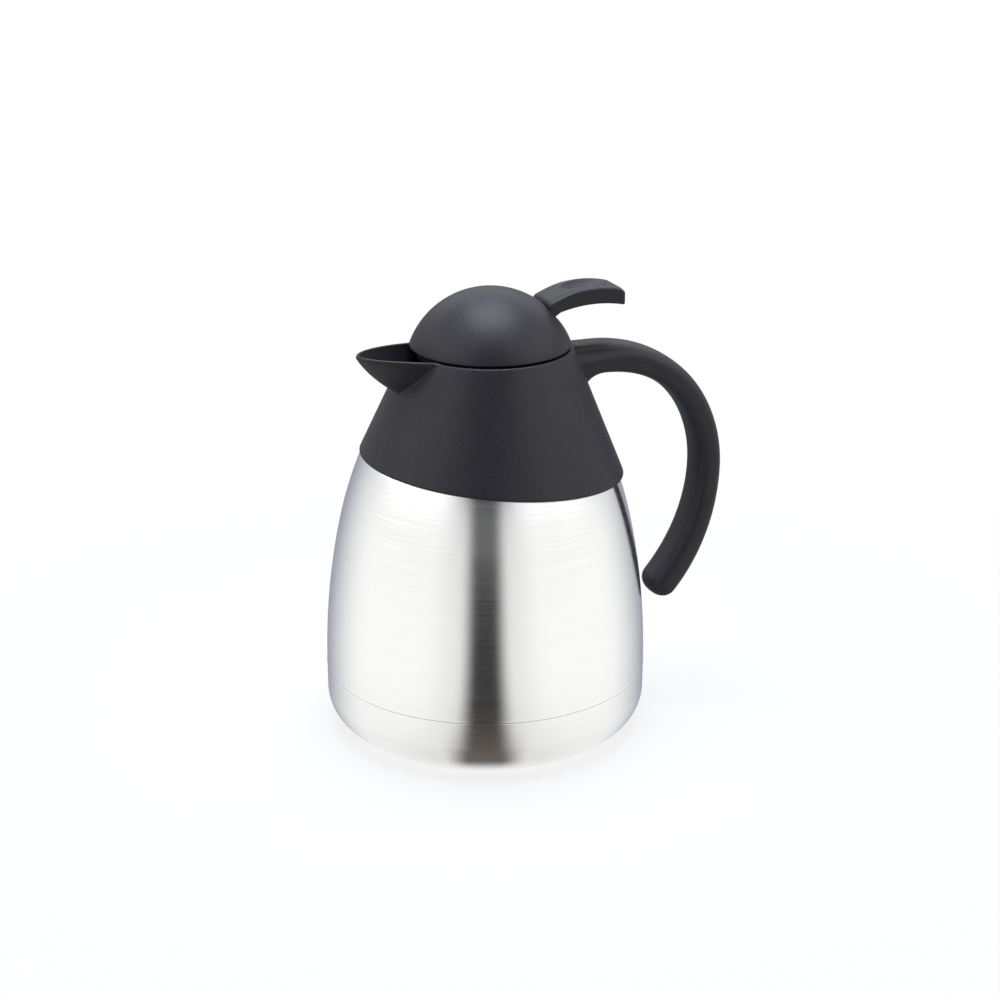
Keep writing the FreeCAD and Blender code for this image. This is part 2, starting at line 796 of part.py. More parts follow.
spout_reach = mm.rim_radius - mm.lid_setback + mm.spout_overhang
keel_height = mm.rim_height - mm.keel_depth
keel_reach = cone_radius(keel_height) - cone_middle(keel_height) - mm.keel_sink


HORN_STEPS = 4


def spout_horn(name, wall, heights):
    """A horn with a pointed lip: two leaning stacks of ovals overlap, each shifted to one side.

    An oval of half width w + c shifted by c is still w wide at the middle, and its lip is cut
    off at the reach r where the two cross: its half length is r / sqrt(1 - (c / (w + c))^2).
    """
    shift = mm.spout_cross
    stacks = []
    for side, toward in (("near", -shift), ("far", shift)):
        ovals = []
        for number, height in enumerate(heights):
            depth = (mm.rim_height - height) / mm.keel_depth
            slip = mm.keel_fullness * depth + (1 - mm.keel_fullness) * depth * depth
            reach = spout_reach - (spout_reach - keel_reach) * slip - wall
            narrowing = (mm.spout_half_width - mm.keel_half_width) * slip + wall
            half_width = mm.spout_half_width - narrowing + shift
            half_length = reach / root(1 - shift * shift / (half_width * half_width))
            ovals.append(oval(f"{name}_{side}_oval_{number}", half_length, half_width, toward, height))
        stacks.append(loft(f"{name}_{side}", ovals, False))
    half = box(name + "_half", 2 * spout_reach, 4 * mm.spout_half_width, 2 * mm.rim_height,
               -2 * spout_reach, -2 * mm.spout_half_width, 0)
    return common(name, *stacks, half)


def steel_space():
    """The outer steel with its clearance, cut out of the plastic that sits on it."""
    gap = mm.steel_fit
    return revolved("steel_space", [
        (0, mm.seam_height),
        (mm.body_radius + gap, mm.seam_height),
        (turn_radius + gap, turn_height, mm.side_arc + gap, 1),
        (neck_radius + gap, neck_start),
        (neck_radius + gap, ledge_bottom),
        (0, ledge_bottom),
    ])


def shoulder():
    wall = mm.shoulder_wall
    cone = loft("shoulder_cone", [
        circle("skirt_circle", cone_radius(skirt_height), 0, skirt_height),
        circle("rim_circle", mm.rim_radius, mm.lid_setback, mm.rim_height),
    ], True)
    horn = spout_horn("spout_outside", 0, [
        mm.rim_height - mm.keel_depth * step / HORN_STEPS for step in range(HORN_STEPS + 1)])
    outside = fuse("shoulder_outside", cone, horn, handle_boss())
    cavity = loft("shoulder_cavity", [
        circle("cavity_low", cone_radius(turn_height) - wall, cone_middle(turn_height), turn_height),
        circle("cavity_high", cone_radius(ledge_bottom) - wall, cone_middle(ledge_bottom), ledge_bottom),
    ], True)
    floor = ledge_top + mm.spout_floor
    above = mm.rim_height + mm.spout_wall
    channel = spout_horn("spout_inside", mm.spout_wall, [
        floor + (above - floor) * step / HORN_STEPS for step in range(HORN_STEPS + 1)])
    mouth = cylinder("mouth", mouth_radius, mm.rim_height, x=mm.lid_setback, z=ledge_top)
    throat = cylinder("throat", throat_radius, mm.rim_height, x=mm.lid_setback)
    angle = degrees(mm.edge_tilt)
    below = cylinder("edge_cut", 2 * mm.body_radius, mm.edge_height,
                     x=-mm.edge_height * sine(angle), z=mm.edge_height * (1 - cosine(angle)))
    tilt(below, angle)
    hollow = cut("shoulder_hollow", outside, cavity, channel, mouth, throat, below)
    collar = cylinder("collar", neck_radius + mm.collar_wall, mm.collar_depth + mm.ledge_thickness / 2,
                      z=ledge_bottom - mm.collar_depth)
    holes = doc.addObject("Part::Feature", "handle_screw_holes")
    holes.Shape = Part.makeCompound([screw_hole(side) for side in (-1, 1)])
    seated = cut("shoulder_on_steel", fuse("shoulder_with_collar", hollow, collar), steel_space())
    return cut("shoulder", cut("shoulder_bored", seated, throat), holes)


# Lid

def lid_gasket():
    inside = mm.stopper_radius + mm.steel_fit
    return revolved("lid_gasket", [
        (inside, ledge_top),
        (gasket_radius, ledge_top),
        (gasket_radius, gasket_top),
        (inside, gasket_top),
    ], mm.lid_setback)


def stopper():
    inside = mm.stopper_radius - mm.stopper_wall
    seal_top = gasket_top + mm.seal_flange
    body = revolved("stopper", [
        (mm.port_radius, stopper_bottom),
        (mm.stopper_radius, stopper_bottom),
        (mm.stopper_radius, gasket_top),
        (gasket_radius, gasket_top),
        (gasket_radius, seal_top),
        (mm.stopper_radius, seal_top),
        (mm.stopper_radius, flange_bottom),
        (flange_radius, flange_bottom),
        (flange_radius, flange_top),
        (inside, flange_top),
        (inside, port_height),
        (mm.port_radius, port_height),
    ], mm.lid_setback)
    sketch = sketch_on(body, "YZ_Plane", "window_outline")
    half = mm.window_width / 2
    top = flange_bottom - mm.window_margin
    draw_outline(sketch, [(-half, window_floor), (half, window_floor), (half, top), (-half, top)])
    window = body.newObject("PartDesign::Pocket", "window")
    window.Profile = sketch
    window.Type = "ThroughAll"
    pattern = body.newObject("PartDesign::PolarPattern", "windows")
    pattern.Originals = [window]
    pattern.Axis = (sketch, ["V_Axis"])
    pattern.Angle = 360
    pattern.Occurrences = 6
    body.Tip = pattern
    return body


def guide_plate():
    rim = flange_radius - mm.ring_wall - mm.steel_fit
    top = flange_top + mm.guide_thickness
    hub_top = top + mm.guide_above
    return revolved("guide_plate", [
        (stem_bore, flange_top - mm.guide_below),
        (guide_radius, flange_top - mm.guide_below),
        (guide_radius, flange_top),
        (rim, flange_top),
        (rim, top),
        (guide_radius, top),
        (guide_radius, hub_top),
        (gland_radius, hub_top),
        (gland_radius, hub_top - mm.oring_gland),
        (stem_bore, hub_top - mm.oring_gland),
    ], mm.lid_setback)


def stem_oring():
    ring = doc.addObject("Part::Torus", "stem_oring")
    bind(ring, "Radius1", stem_bore + mm.oring_section / 2)
    bind(ring, "Radius2", mm.oring_section / 2)
    seat = flange_top + mm.guide_thickness + mm.guide_above - mm.oring_gland
    return place(ring, mm.lid_setback, 0, seat + mm.oring_section / 2)


def valve_stem():
    return revolved("valve_stem", [
        (0, valve_floor - mm.spigot_length),
        (spigot_radius, valve_floor - mm.spigot_length),
        (spigot_radius, valve_floor),
        (valve_radius, valve_floor),
        (valve_radius, valve_top),
        (mm.stem_radius, valve_top),
        (mm.stem_radius, cap_ceiling),
        (0, cap_ceiling),
    ], mm.lid_setback)


def valve_seal():
    inside = spigot_radius + mm.stem_fit
    return revolved("valve_seal", [
        (inside, port_height),
        (valve_radius, port_height),
        (valve_radius, valve_floor),
        (inside, valve_floor),
    ], mm.lid_setback)


def stem_cap():
    bore = mm.stem_radius + mm.stem_fit / 2
    return revolved("stem_cap", [
        (bore, cap_floor),
        (cap_radius, cap_floor),
        (cap_radius, cap_floor + mm.cap_flange),
        (cap_hub, cap_floor + mm.cap_flange),
        (cap_hub, cap_floor + mm.cap_height),
        (0, cap_floor + mm.cap_height),
        (0, cap_ceiling),
        (bore, cap_ceiling),
    ], mm.lid_setback)


def arc_from(start, heading, end):
    """The arc that leaves start along heading and ends at end."""
    chord = end - start
    along = chord * (1 / chord.Length)
    lean = heading.dot(along)
    aside = (heading - along * lean).normalize()
    middle = (start + end) * 0.5 + aside * chord.Length / 2 * math.tan(math.acos(lean) / 2)
    return Part.Arc(start, middle, end).toShape()


def two_arcs(start, heading, end, arrival):
    """Two arcs that touch, leaving start along heading and reaching end along arrival."""
    chord = end - start
    both = chord.dot(heading + arrival)
    bend = 2 * (1 - heading.dot(arrival))
    reach = (math.sqrt(both ** 2 + bend * chord.dot(chord)) - both) / bend
    joint = (start + end + (heading - arrival) * reach) * 0.5
    return arc_from(start, heading, joint), arc_from(end, arrival * -1, joint)


def valve_spring():
    """An open coil from the valve's disc up to the guide plate, of two arcs for each quarter turn."""
    quarters = round(float(mm.spring_turns) * 4)
    radius = float(spring_radius)
    middle = float(mm.lid_setback)
    low = float(valve_top + mm.spring_wire / 2)
    rise = float(flange_top - valve_top - mm.spring_wire) / quarters
    climb = rise / (radius * math.pi / 2)
    ends = []
    for quarter in range(quarters + 1):
        angle = quarter * math.pi / 2
        point = V(middle + radius * math.cos(angle), radius * math.sin(angle), low + rise * quarter)
        ends.append((point, V(-math.sin(angle), math.cos(angle), climb).normalize()))
    arcs = []
    for (start, heading), (end, arrival) in zip(ends, ends[1:]):
        arcs.extend(two_arcs(start, heading, end, arrival))
    start, heading = ends[0]
    section = Part.Wire([Part.Circle(start, heading, float(mm.spring_wire) / 2).toShape()])
    spring = doc.addObject("Part::Feature", "valve_spring")
    spring.Shape = Part.Wire(arcs).makePipeShell([section], True, False)
    print(f"valve_spring: least gap between turns {4 * rise - float(mm.spring_wire):.2f} mm")
    return spring


def lid_dome():
    ring_inside = flange_radius - mm.ring_wall
    ring_height = dome_middle + root(dome_inside * dome_inside - ring_inside * ring_inside)
    shell = revolved("dome_shell", [
        (dome_radius, dome_base),
        (0, dome_top, dome_ball, 1),
        (0, dome_top - mm.dome_wall),
        (ring_inside, ring_height, dome_inside, -1),
        (ring_inside, flange_top),
        (flange_radius, flange_top),
        (flange_radius, dome_base),
    ], mm.lid_setback)
    inside = lever_side + mm.lever_gap
    notch_start = mm.lid_setback + mm.lever_root - mm.lever_gap
    notch = box("lever_notch", mm.lever_length, 2 * inside, dome_ball,
                notch_start, -inside, dome_base + mm.notch_rise)
    ears = []
    for side, start in (("near", -inside - mm.ear_thickness), ("far", inside)):
        ears.append(box(f"ear_{side}", 2 * mm.ear_reach, mm.ear_thickness, dome_ball,
                        pivot_x - mm.ear_reach, start, pivot_height - mm.ear_reach))
    held = common("ears_in_dome", fuse("ears", *ears),
                  sphere("ear_limit", dome_ball - mm.dome_wall / 2, mm.lid_setback, dome_middle))
    span = inside + mm.ear_thickness
    bore = crossbar("pin_bore", mm.pin_radius + mm.pin_fit, 2 * span, pivot_x, pivot_height, -span)
    return cut("lid_dome", fuse("dome_with_ears", shell, held), notch, bore)


def lever_pin():
    span = lever_side + mm.lever_gap + mm.ear_thickness
    return crossbar("lever_pin", mm.pin_radius, 2 * span, pivot_x, pivot_height, -span)


def symmetric(feature):
    """Let a pad or pocket run the same way on both sides of its sketch."""
    feature.SideType = "Symmetric"


def lever():
    body = doc.addObject("PartDesign::Body", "lever")
    place(body, mm.lid_setback)
    side = sketch_on(body, "XZ_Plane", "lever_outline")
    pivot = mm.pivot_offset
    nose = mm.lever_nose
    drum = mm.drum_radius
    top = pivot_height + nose
    bottom = pivot_height - nose
    arm_meets_drum = pivot - root(drum * drum - nose * nose)
    underside = pivot_height + mm.lever_underside
    draw_outline(side, [
        (mm.lever_root, lever_root_height),
        (mm.lever_length - mm.lever_shoulder, lever_tip_height, mm.lever_crown, -1),
        (mm.lever_length, underside + mm.tip_face, mm.tip_round, -1),
        (mm.lever_length, underside),
        (mm.lever_heel, pivot_height + mm.lever_heel_rise, mm.lever_hollow, 1),
        (pivot + drum, pivot_height),
        (pivot, pivot_height - drum, drum, -1),
        (arm_meets_drum, bottom, drum, -1),
        (0, bottom),
        (-nose, pivot_height, nose, -1),
        (0, top, nose, -1),
        (arm_meets_drum, top),
        (pivot, pivot_height + drum, drum, -1),
        (mm.lever_root, pivot_height + drum / 2),
    ])
    pad = body.newObject("PartDesign::Pad", "lever_pad")
    pad.Profile = side
    symmetric(pad)
    bind(pad, "Length", mm.lever_width)
    doc.recompute()
    bevel = body.newObject("PartDesign::Chamfer", "lever_bevel")
    bevel.Base = (pad, top_edges(pad.Shape, float(lever_side), float(lever_root_height)))
    bevel.ChamferType = "Two distances"
    bind(bevel, "Size", mm.bevel_run)
    bind(bevel, "Size2", mm.bevel)
    doc.recompute()
    narrow = sketch_on(body, "XY_Plane", "arm_outline", pivot_height - drum)
    arm_end = pivot - drum
    slot = mm.stem_radius + mm.arm_play
    arm = slot + mm.arm_thickness
    for half_inner, half_outer, end in ((arm, mm.lever_width, arm_end), (-mm.lever_width, -arm, arm_end),
                                        (-slot, slot, guide_radius)):
        draw_outline(narrow, [
            (-drum, half_inner), (end, half_inner), (end, half_outer), (-drum, half_outer)])
    arms = body.newObject("PartDesign::Pocket", "arms")
    arms.Profile = narrow
    arms.Type = "Length"
    symmetric(arms)
    bind(arms, "Length", 4 * drum)
    hole = sketch_on(body, "XZ_Plane", "pin_hole_outline")
    hole.addGeometry(Part.Circle(V(float(pivot), float(pivot_height), 0), UP, float(mm.pin_radius)))
    pin(hole, 0, 3, pivot, pivot_height)
    number = hole.addConstraint(Sketcher.Constraint("Radius", 0, float(mm.pin_radius)))
    bind(hole, f"Constraints[{number}]", mm.pin_radius + mm.pin_fit)
    bore = body.newObject("PartDesign::Pocket", "pin_hole")
    bore.Profile = hole
    bore.Type = "Length"
    symmetric(bore)
    bind(bore, "Length", 2 * mm.lever_width)
    body.Tip = thumb_dish(body)
    return body


def lever_crest():
    """Highest point of the bowed top: an arc of lever_crown from the root to the tip's round."""
    run = mm.lever_length - mm.lever_shoulder - mm.lever_root
    rise = lever_tip_height - lever_root_height
    chord = root(run * run + rise * rise)
    reach = root(mm.lever_crown * mm.lever_crown - chord * chord / 4)
    return (lever_root_height + lever_tip_height) / 2 - run / chord * reach + mm.lever_crown


def thumb_dish(body):
    """A shallow dish in the top, cut by a slim spindle lying along the lever."""
    radius = (mm.pad_width * mm.pad_width / 4 + mm.pad_depth * mm.pad_depth) / (2 * mm.pad_depth)
    half = mm.pad_length / 2
    rise = mm.pad_arc - root(mm.pad_arc * mm.pad_arc - half * half)
    sketch = sketch_on(body, "XZ_Plane", "dish_profile")
    bind(sketch, "AttachmentOffset.Base.x", mm.pad_middle)
    bind(sketch, "AttachmentOffset.Base.y", lever_crest() - mm.pad_depth + radius)
    draw_outline(sketch, [
        (-half, 0),
        (-half, rise - radius),
        (half, rise - radius, mm.pad_arc, 1),
        (half, 0),
    ])
    dish = body.newObject("PartDesign::Groove", "thumb_dish")
    dish.Profile = sketch
    dish.ReferenceAxis = (sketch, ["H_Axis"])
    dish.Angle = 360
    return dish


def top_edges(shape, half_width, floor):
    """The long edges along the top of the lever, above a height."""
    names = []
    for number, edge in enumerate(shape.Edges, start=1):
        ends = edge.BoundBox
        flat = abs(abs(ends.YMin) - half_width) < 0.01 and ends.YMax - ends.YMin < 0.01
        if flat and ends.ZMax > floor + 1 and ends.XMax - ends.XMin > half_width:
            names.append(f"Edge{number}")
    return names


# Build every sub-part, test it and write it out

SUB_PARTS = (outer_shell, base_cup, inner_flask, flask_bottom, getter, vacuum_seal, base_plate, neck_gasket,
             shoulder, handle, handle_screws, lid_gasket, stopper, guide_plate, stem_oring, valve_stem,
             valve_seal, stem_cap, valve_spring, lid_dome, lever_pin, lever)
for make in SUB_PARTS:
    keep(make.__name__, make())
doc.recompute()

for thing in doc.Objects:
    if "Invalid" in thing.State or "Error" in thing.State:
        raise RuntimeError(f"{thing.Name} failed: {thing.State}")
for label, thing in nodes.items():
    if thing.Shape.isNull() or not thing.Shape.isValid() or not thing.Shape.Solids:
        raise RuntimeError(f"{label} has no valid shape")

os.makedirs("parts", exist_ok=True)
for label, thing in nodes.items():
    thing.Shape.exportStep(f"parts/{label}.step")
    print(f"{label}: {len(thing.Shape.Solids)} solid, {thing.Shape.Volume / 1000:.2f} cm3")
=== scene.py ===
# %% [markdown]
# # An insulated coffee pot
# The pot is a double-walled steel bottle with a black plastic shoulder, a spout, an open handle and a
# domed lid with a thumb lever. The packed solids are the frame: every new piece is put where they are.

# %% Load the frame
import json
import math

import bmesh
import bpy
import numpy as np
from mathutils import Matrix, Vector


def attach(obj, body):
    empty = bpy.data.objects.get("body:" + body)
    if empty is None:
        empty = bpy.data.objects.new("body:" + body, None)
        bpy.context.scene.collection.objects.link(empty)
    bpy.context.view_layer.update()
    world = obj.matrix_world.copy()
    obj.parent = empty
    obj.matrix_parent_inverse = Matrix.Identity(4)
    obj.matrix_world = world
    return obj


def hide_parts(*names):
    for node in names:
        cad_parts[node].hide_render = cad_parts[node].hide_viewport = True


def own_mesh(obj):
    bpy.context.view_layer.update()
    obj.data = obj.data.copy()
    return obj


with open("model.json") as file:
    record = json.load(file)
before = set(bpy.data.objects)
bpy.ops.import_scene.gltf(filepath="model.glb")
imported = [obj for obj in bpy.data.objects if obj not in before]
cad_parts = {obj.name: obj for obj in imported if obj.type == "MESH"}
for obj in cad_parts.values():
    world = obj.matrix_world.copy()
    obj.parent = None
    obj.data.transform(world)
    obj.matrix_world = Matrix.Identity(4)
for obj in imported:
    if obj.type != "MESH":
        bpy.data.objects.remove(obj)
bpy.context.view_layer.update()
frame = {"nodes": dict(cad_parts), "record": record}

nodes = frame["nodes"]
MM = 0.001

# %% [markdown]
# ## The camera
# The photograph looks down on the pot by some 22 degrees, a little from the spout's side. A long lens at
# arm's length gives the same weak perspective, and the lens shift puts the pot below the picture's middle.
# A Track To constraint could aim the camera. Its turn is worked out once instead, so nothing stays live.

# %% Camera
CAMERA_AZIMUTH = math.radians(-22.0)
CAMERA_ELEVATION = math.radians(21.9)
CAMERA_DISTANCE = 0.9206
CAMERA_TARGET = Vector((0.0, 0.0, 0.0722))
CAMERA_LENS = 75.83
CAMERA_SHIFT = (0.0148, 0.0617)


def make_camera():
    """Stand at a distance from the target, along its azimuth and elevation, and look back at it."""
    level = math.cos(CAMERA_ELEVATION)
    back = Vector((
        math.sin(CAMERA_AZIMUTH) * level,
        -math.cos(CAMERA_AZIMUTH) * level,
        math.sin(CAMERA_ELEVATION),
    ))
    camera = bpy.data.objects.new("camera", bpy.data.cameras.new("camera"))
    camera.location = CAMERA_TARGET + back * CAMERA_DISTANCE
    camera.rotation_euler = (-back).to_track_quat("-Z", "Y").to_euler()
    camera.data.lens = CAMERA_LENS
    camera.data.shift_x, camera.data.shift_y = CAMERA_SHIFT
    bpy.context.scene.collection.objects.link(camera)
    bpy.context.scene.camera = camera
    return camera


print("camera at", tuple(round(value, 3) for value in make_camera().location))

# %% [markdown]
# ## Shader sums
# A finish is mostly arithmetic on a few patterns. Linking Math nodes by hand hides that arithmetic, so a
# small class wraps one socket and lets Python's own operators add the nodes.

# %% A socket that can be used in sums
class Value:
    """One socket of a node tree: a + b, 1 - a, a * b and a / b add Math nodes."""

    def __init__(self, tree, socket=None):
        self.tree = tree
        self.socket = socket

    def node(self, kind, settings=None, inputs=None, out=0):
        """Add a node, apply its settings, then link or set its sockets, and hand back one output."""
        made = self.tree.nodes.new(kind)
        for name, setting in (settings or {}).items():
            setattr(made, name, setting)
        for name, given in (inputs or {}).items():
            if isinstance(given, Value):
                self.tree.links.new(given.socket, made.inputs[name])
            else:
                made.inputs[name].default_value = given
        return Value(self.tree, made.outputs[out] if made.outputs else None)

    def maths(self, operation, first, second=0.0):
        """Add a Math node for one operation on values or numbers."""
        return self.node("ShaderNodeMath", {"operation": operation}, {0: first, 1: second})

    def __add__(self, other):
        return self.maths("ADD", self, other)

    def __radd__(self, other):
        return self.maths("ADD", other, self)

    def __sub__(self, other):
        return self.maths("SUBTRACT", self, other)

    def __rsub__(self, other):
        return self.maths("SUBTRACT", other, self)

    def __mul__(self, other):
        return self.maths("MULTIPLY", self, other)

    def __rmul__(self, other):
        return self.maths("MULTIPLY", other, self)

    def __truediv__(self, other):
        return self.maths("DIVIDE", self, other)

    def __rtruediv__(self, other):
        return self.maths("DIVIDE", other, self)

    def eased(self, low, high):
        """0 below low, 1 above high, and a smooth step between them."""
        return self.node("ShaderNodeMapRange", {"interpolation_type": "SMOOTHSTEP"},
                         {"Value": self, "From Min": low, "From Max": high}, "Result")

    def between(self, first, second):
        """The colour from first to second, by this value."""
        return self.node("ShaderNodeMix", {"data_type": "RGBA"}, {0: self, 6: first, 7: second}, 2)


print("sums ready:", ", ".join(name for name in vars(Value) if name.startswith("__r")))

# %% [markdown]
# ## The studio
# Brushed steel shows its surroundings more than itself. The picture was taken in a white room with a dark
# gap on the camera's side, which the steel shows as a narrow dark band, and dimmer bluish walls behind the
# pot, which tint its outer edges. Panels could be modelled round the pot, but a formula is easier to fit.
# One function of the direction round the pot gives that glow, and both the floor and the world show it to
# reflections. The camera itself sees plain white.

# %% The glow round the pot
GAP_EDGE = (0.105, 0.315)
GAP_TAIL = (0.20, 0.80)
EDGE_SHARE = 0.81
GAP_COLOUR = (0.036, 0.036, 0.037, 1.0)
WALL_START = (1.6, 2.9)
WALL_COLOUR = (0.34, 0.36, 0.42, 1.0)
ROOM_COLOUR = (1.08, 1.08, 1.075, 1.0)


def heading_parts(start, direction):
    """How far a vector points to the camera's side, and how far to either side of it."""
    def along(x, y):
        """Its part along a level direction."""
        return start.node("ShaderNodeVectorMath", {"operation": "DOT_PRODUCT"},
                          {0: direction, 1: (x, y, 0.0)}, "Value")

    toward = along(math.sin(CAMERA_AZIMUTH), -math.cos(CAMERA_AZIMUTH))
    across = along(math.cos(CAMERA_AZIMUTH), math.sin(CAMERA_AZIMUTH))
    return toward, start.maths("ABSOLUTE", across)


def glow(angle, spread, gap=1.0, dark=GAP_COLOUR, room=ROOM_COLOUR):
    """Colour by the angle from the camera's side: a dark gap of some spread, white, then the far wall."""
    opened = angle / spread
    lit = opened.eased(*GAP_EDGE) * EDGE_SHARE + opened.eased(*GAP_TAIL) * (1 - EDGE_SHARE)
    walls = angle.eased(*WALL_START).between(room, WALL_COLOUR)
    return (1 - (1 - lit) * gap).between(dark, walls)


print(f"the gap is dark to {GAP_EDGE[0]} and the room is white from {GAP_TAIL[1]} radians")

# %% [markdown]
# Above the floor, reflections find the world. Heights in it are the upward part of the direction: 0 at the
# horizon and 1 overhead. The gap grows wider with height and fades out overhead, which keeps the middle of
# the black cone and dome dark. Bright belts beside and behind the pot give the plastic its pale flanks and
# edges, and they lie too high for most of the steel to see. A studio picture could do this, but a formula
# can be read and changed.

# %% The sky that reflections find
LOW_COLOUR = (0.99, 0.99, 0.985, 1.0)
LOW_TO_ROOM = (0.28, 0.60)
GAP_WIDEN = (0.32, 0.54)
GAP_WIDER_BY = 1.9
GAP_FADE = (0.62, 0.92)
PALER_BELT = ((0.0, 0.16), (0.22, 0.42))
PALER_BY = 0.15
SIDE_COLOUR = (4.4, 4.4, 4.5, 1.0)
SIDE_BELT = ((0.42, 0.55), (0.58, 0.80))
SIDE_TOWARD = (-0.60, 0.10)
SIDE_SINK = 0.13
SINK_ANGLE = (0.8, 1.6)
BEHIND_COLOUR = (2.1, 2.1, 2.2, 1.0)
BEHIND_BELT = ((0.22, 0.45), (0.55, 0.85))
BEHIND_TOWARD = (-0.80, -0.35)


def belt(value, low, high):
    """1 where the value lies between two soft edges, and 0 outside them."""
    return value.eased(*low) - value.eased(*high)


def mirrored_sky(start):
    """What reflections find above the floor: the glow, with the belts beside and behind."""
    direction = start.node("ShaderNodeTexCoord", out="Generated")
    toward, across = heading_parts(start, direction)
    up = start.node("ShaderNodeSeparateXYZ", None, {0: direction}, "Z")
    angle = start.maths("ARCTAN2", across, toward)
    spread = 1 + up.eased(*GAP_WIDEN) * GAP_WIDER_BY
    gap = 1 - belt(up, *PALER_BELT) * PALER_BY - up.eased(*GAP_FADE)
    sunk = up + angle.eased(*SINK_ANGLE) * SIDE_SINK
    beside = belt(sunk, *SIDE_BELT) * toward.eased(*SIDE_TOWARD)
    behind = belt(up, *BEHIND_BELT) * (1 - toward.eased(*BEHIND_TOWARD))
    plain = up.eased(*LOW_TO_ROOM).between(LOW_COLOUR, ROOM_COLOUR)
    round_pot = glow(angle, spread, gap, GAP_COLOUR, beside.between(plain, SIDE_COLOUR))
    return behind.between(round_pot, BEHIND_COLOUR)


print(f"belts in the sky: beside from {SIDE_BELT[0][0]} up, behind from {BEHIND_BELT[0][0]} up")

# %% The world
SOFT_LIGHT = 0.3


def grey(level):
    """An opaque grey of that level."""
    return (level, level, level, 1.0)


def make_world():
    """White to the camera, the sky to reflections, and an even soft light to everything else."""
    world = bpy.data.worlds.new("studio")
    world.use_nodes = True
    world.node_tree.nodes.clear()
    bpy.context.scene.world = world
    start = Value(world.node_tree)
    glossy = start.node("ShaderNodeLightPath", out="Is Glossy Ray")
    camera = start.node("ShaderNodeLightPath", out="Is Camera Ray")
    clear = start.node("ShaderNodeLightPath", out="Is Transmission Ray")
    shown = camera.between(glossy.between(grey(SOFT_LIGHT), mirrored_sky(start)), grey(1.0))
    shown = clear.between(shown, grey(1.0))
    light = start.node("ShaderNodeBackground", None, {"Color": shown, "Strength": 1.0})
    start.node("ShaderNodeOutputWorld", None, {"Surface": light})
    return world


print("world:", make_world().name)

# %% [markdown]
# The floor is the part of the room that the upright steel reflects most, because the camera looks down on
# it. A spot on the floor is seen by the steel in another direction than from the pot's middle. For a round
# body of radius R the ray that lands at distance d and azimuth a left it at angle p, where
# p = a + asin(R / d * sin(p / 2)). Two rounds of that sum give p, and with it the same glow as the world
# has. A plain white floor would suit the camera, but the steel would lose its band.

# %% What reflections find on the floor
BODY_RADIUS = 0.066
FIRST_GUESS = 0.8
FOOT_GAP_AND_SHADOW = (0.145, 0.125, 0.11, 1.0)
FOOT_LIGHT = (0.97, 0.97, 0.97, 1.0)
FOOT_SPREAD = 1.8
FOOT_EDGE = (0.060, 0.072)
NEAR_SHADE = (0.066, 0.16)
NEAR_SPREAD = 1.25
FAR_SPREAD = 1.0
SPREAD_RUN = (0.08, 0.3)


def mirrored_floor(start, toward, across, distance):
    """What reflections find on the floor: painted shade at the pot's foot, where the gap is wider and
    brownish and the white dimmer, and the glow farther out.
    """
    ratio = start.maths("MINIMUM", BODY_RADIUS / (distance + 1e-6), 1.0)
    azimuth = start.maths("ARCTAN2", across, toward)
    left_at = azimuth * (1 + ratio * FIRST_GUESS)
    for _ in range(2):
        left_at = azimuth + start.maths("ARCSINE", ratio * start.maths("SINE", left_at * 0.5))
    # Painted shadow: near the foot the gap that reflections find is wider and brownish and the white
    # dimmer, for the pot's own shadow.
    foot = glow(left_at, FOOT_SPREAD, distance.eased(*FOOT_EDGE), FOOT_GAP_AND_SHADOW, FOOT_LIGHT)
    spread = NEAR_SPREAD - distance.eased(*SPREAD_RUN) * (NEAR_SPREAD - FAR_SPREAD)
    return distance.eased(*NEAR_SHADE).between(foot, glow(left_at, spread))


print(f"the glow takes over from {NEAR_SHADE[0]} to {NEAR_SHADE[1]} m from the pot's middle")

# %% The floor
FLOOR_RADIUS = 8.0
FLOOR_GREY = 0.86
SHADOW_SHARE = 0.2
SHADOW_FADE = (0.10, 0.40)


def new_finish(name):
    """An empty material and the start of its sums."""
    material = bpy.data.materials.new(name)
    material.use_nodes = True
    material.node_tree.nodes.clear()
    return material, Value(material.node_tree)


def white_floor():
    """White to the camera, with a share of the pot's shadow close by, and the glow to reflections."""
    material, start = new_finish("white_floor")
    toward, across = heading_parts(start, start.node("ShaderNodeTexCoord", out="Object"))
    distance = start.maths("SQRT", toward * toward + across * across)
    found = mirrored_floor(start, toward, across, distance)
    mirrored = start.node("ShaderNodeEmission", None, {"Color": found})
    white = start.node("ShaderNodeEmission", None, {"Color": grey(1.0)})
    matt = start.node("ShaderNodeBsdfDiffuse", None, {"Color": grey(FLOOR_GREY)})
    camera = start.node("ShaderNodeLightPath", out="Is Camera Ray")
    glossy = start.node("ShaderNodeLightPath", out="Is Glossy Ray")
    plain = 1 - (1 - distance.eased(*SHADOW_FADE)) * SHADOW_SHARE
    seen = start.node("ShaderNodeMixShader", None, {0: camera * plain, 1: matt, 2: white})
    seen = start.node("ShaderNodeMixShader", None, {0: glossy, 1: seen, 2: mirrored})
    start.node("ShaderNodeOutputMaterial", None, {"Surface": seen})
    return material


def make_floor():
    """A wide disc under the pot."""
    angle = np.linspace(0, 2 * np.pi, 96, endpoint=False)
    ring = np.stack((FLOOR_RADIUS * np.cos(angle), FLOOR_RADIUS * np.sin(angle), 0 * angle), 1)
    mesh = bpy.data.meshes.new("floor")
    mesh.from_pydata(ring.tolist(), [], [list(range(len(ring)))])
    mesh.materials.append(white_floor())
    floor = bpy.data.objects.new("floor", mesh)
    bpy.context.scene.collection.objects.link(floor)
    return floor


print("floor faces:", len(make_floor().data.polygons))

# %% [markdown]
# One large lamp hangs over the pot, a little behind it. It makes the bluish sheen on the dome and the soft
# shadow round the foot. A sun lamp would make that sheen a small hard spot.

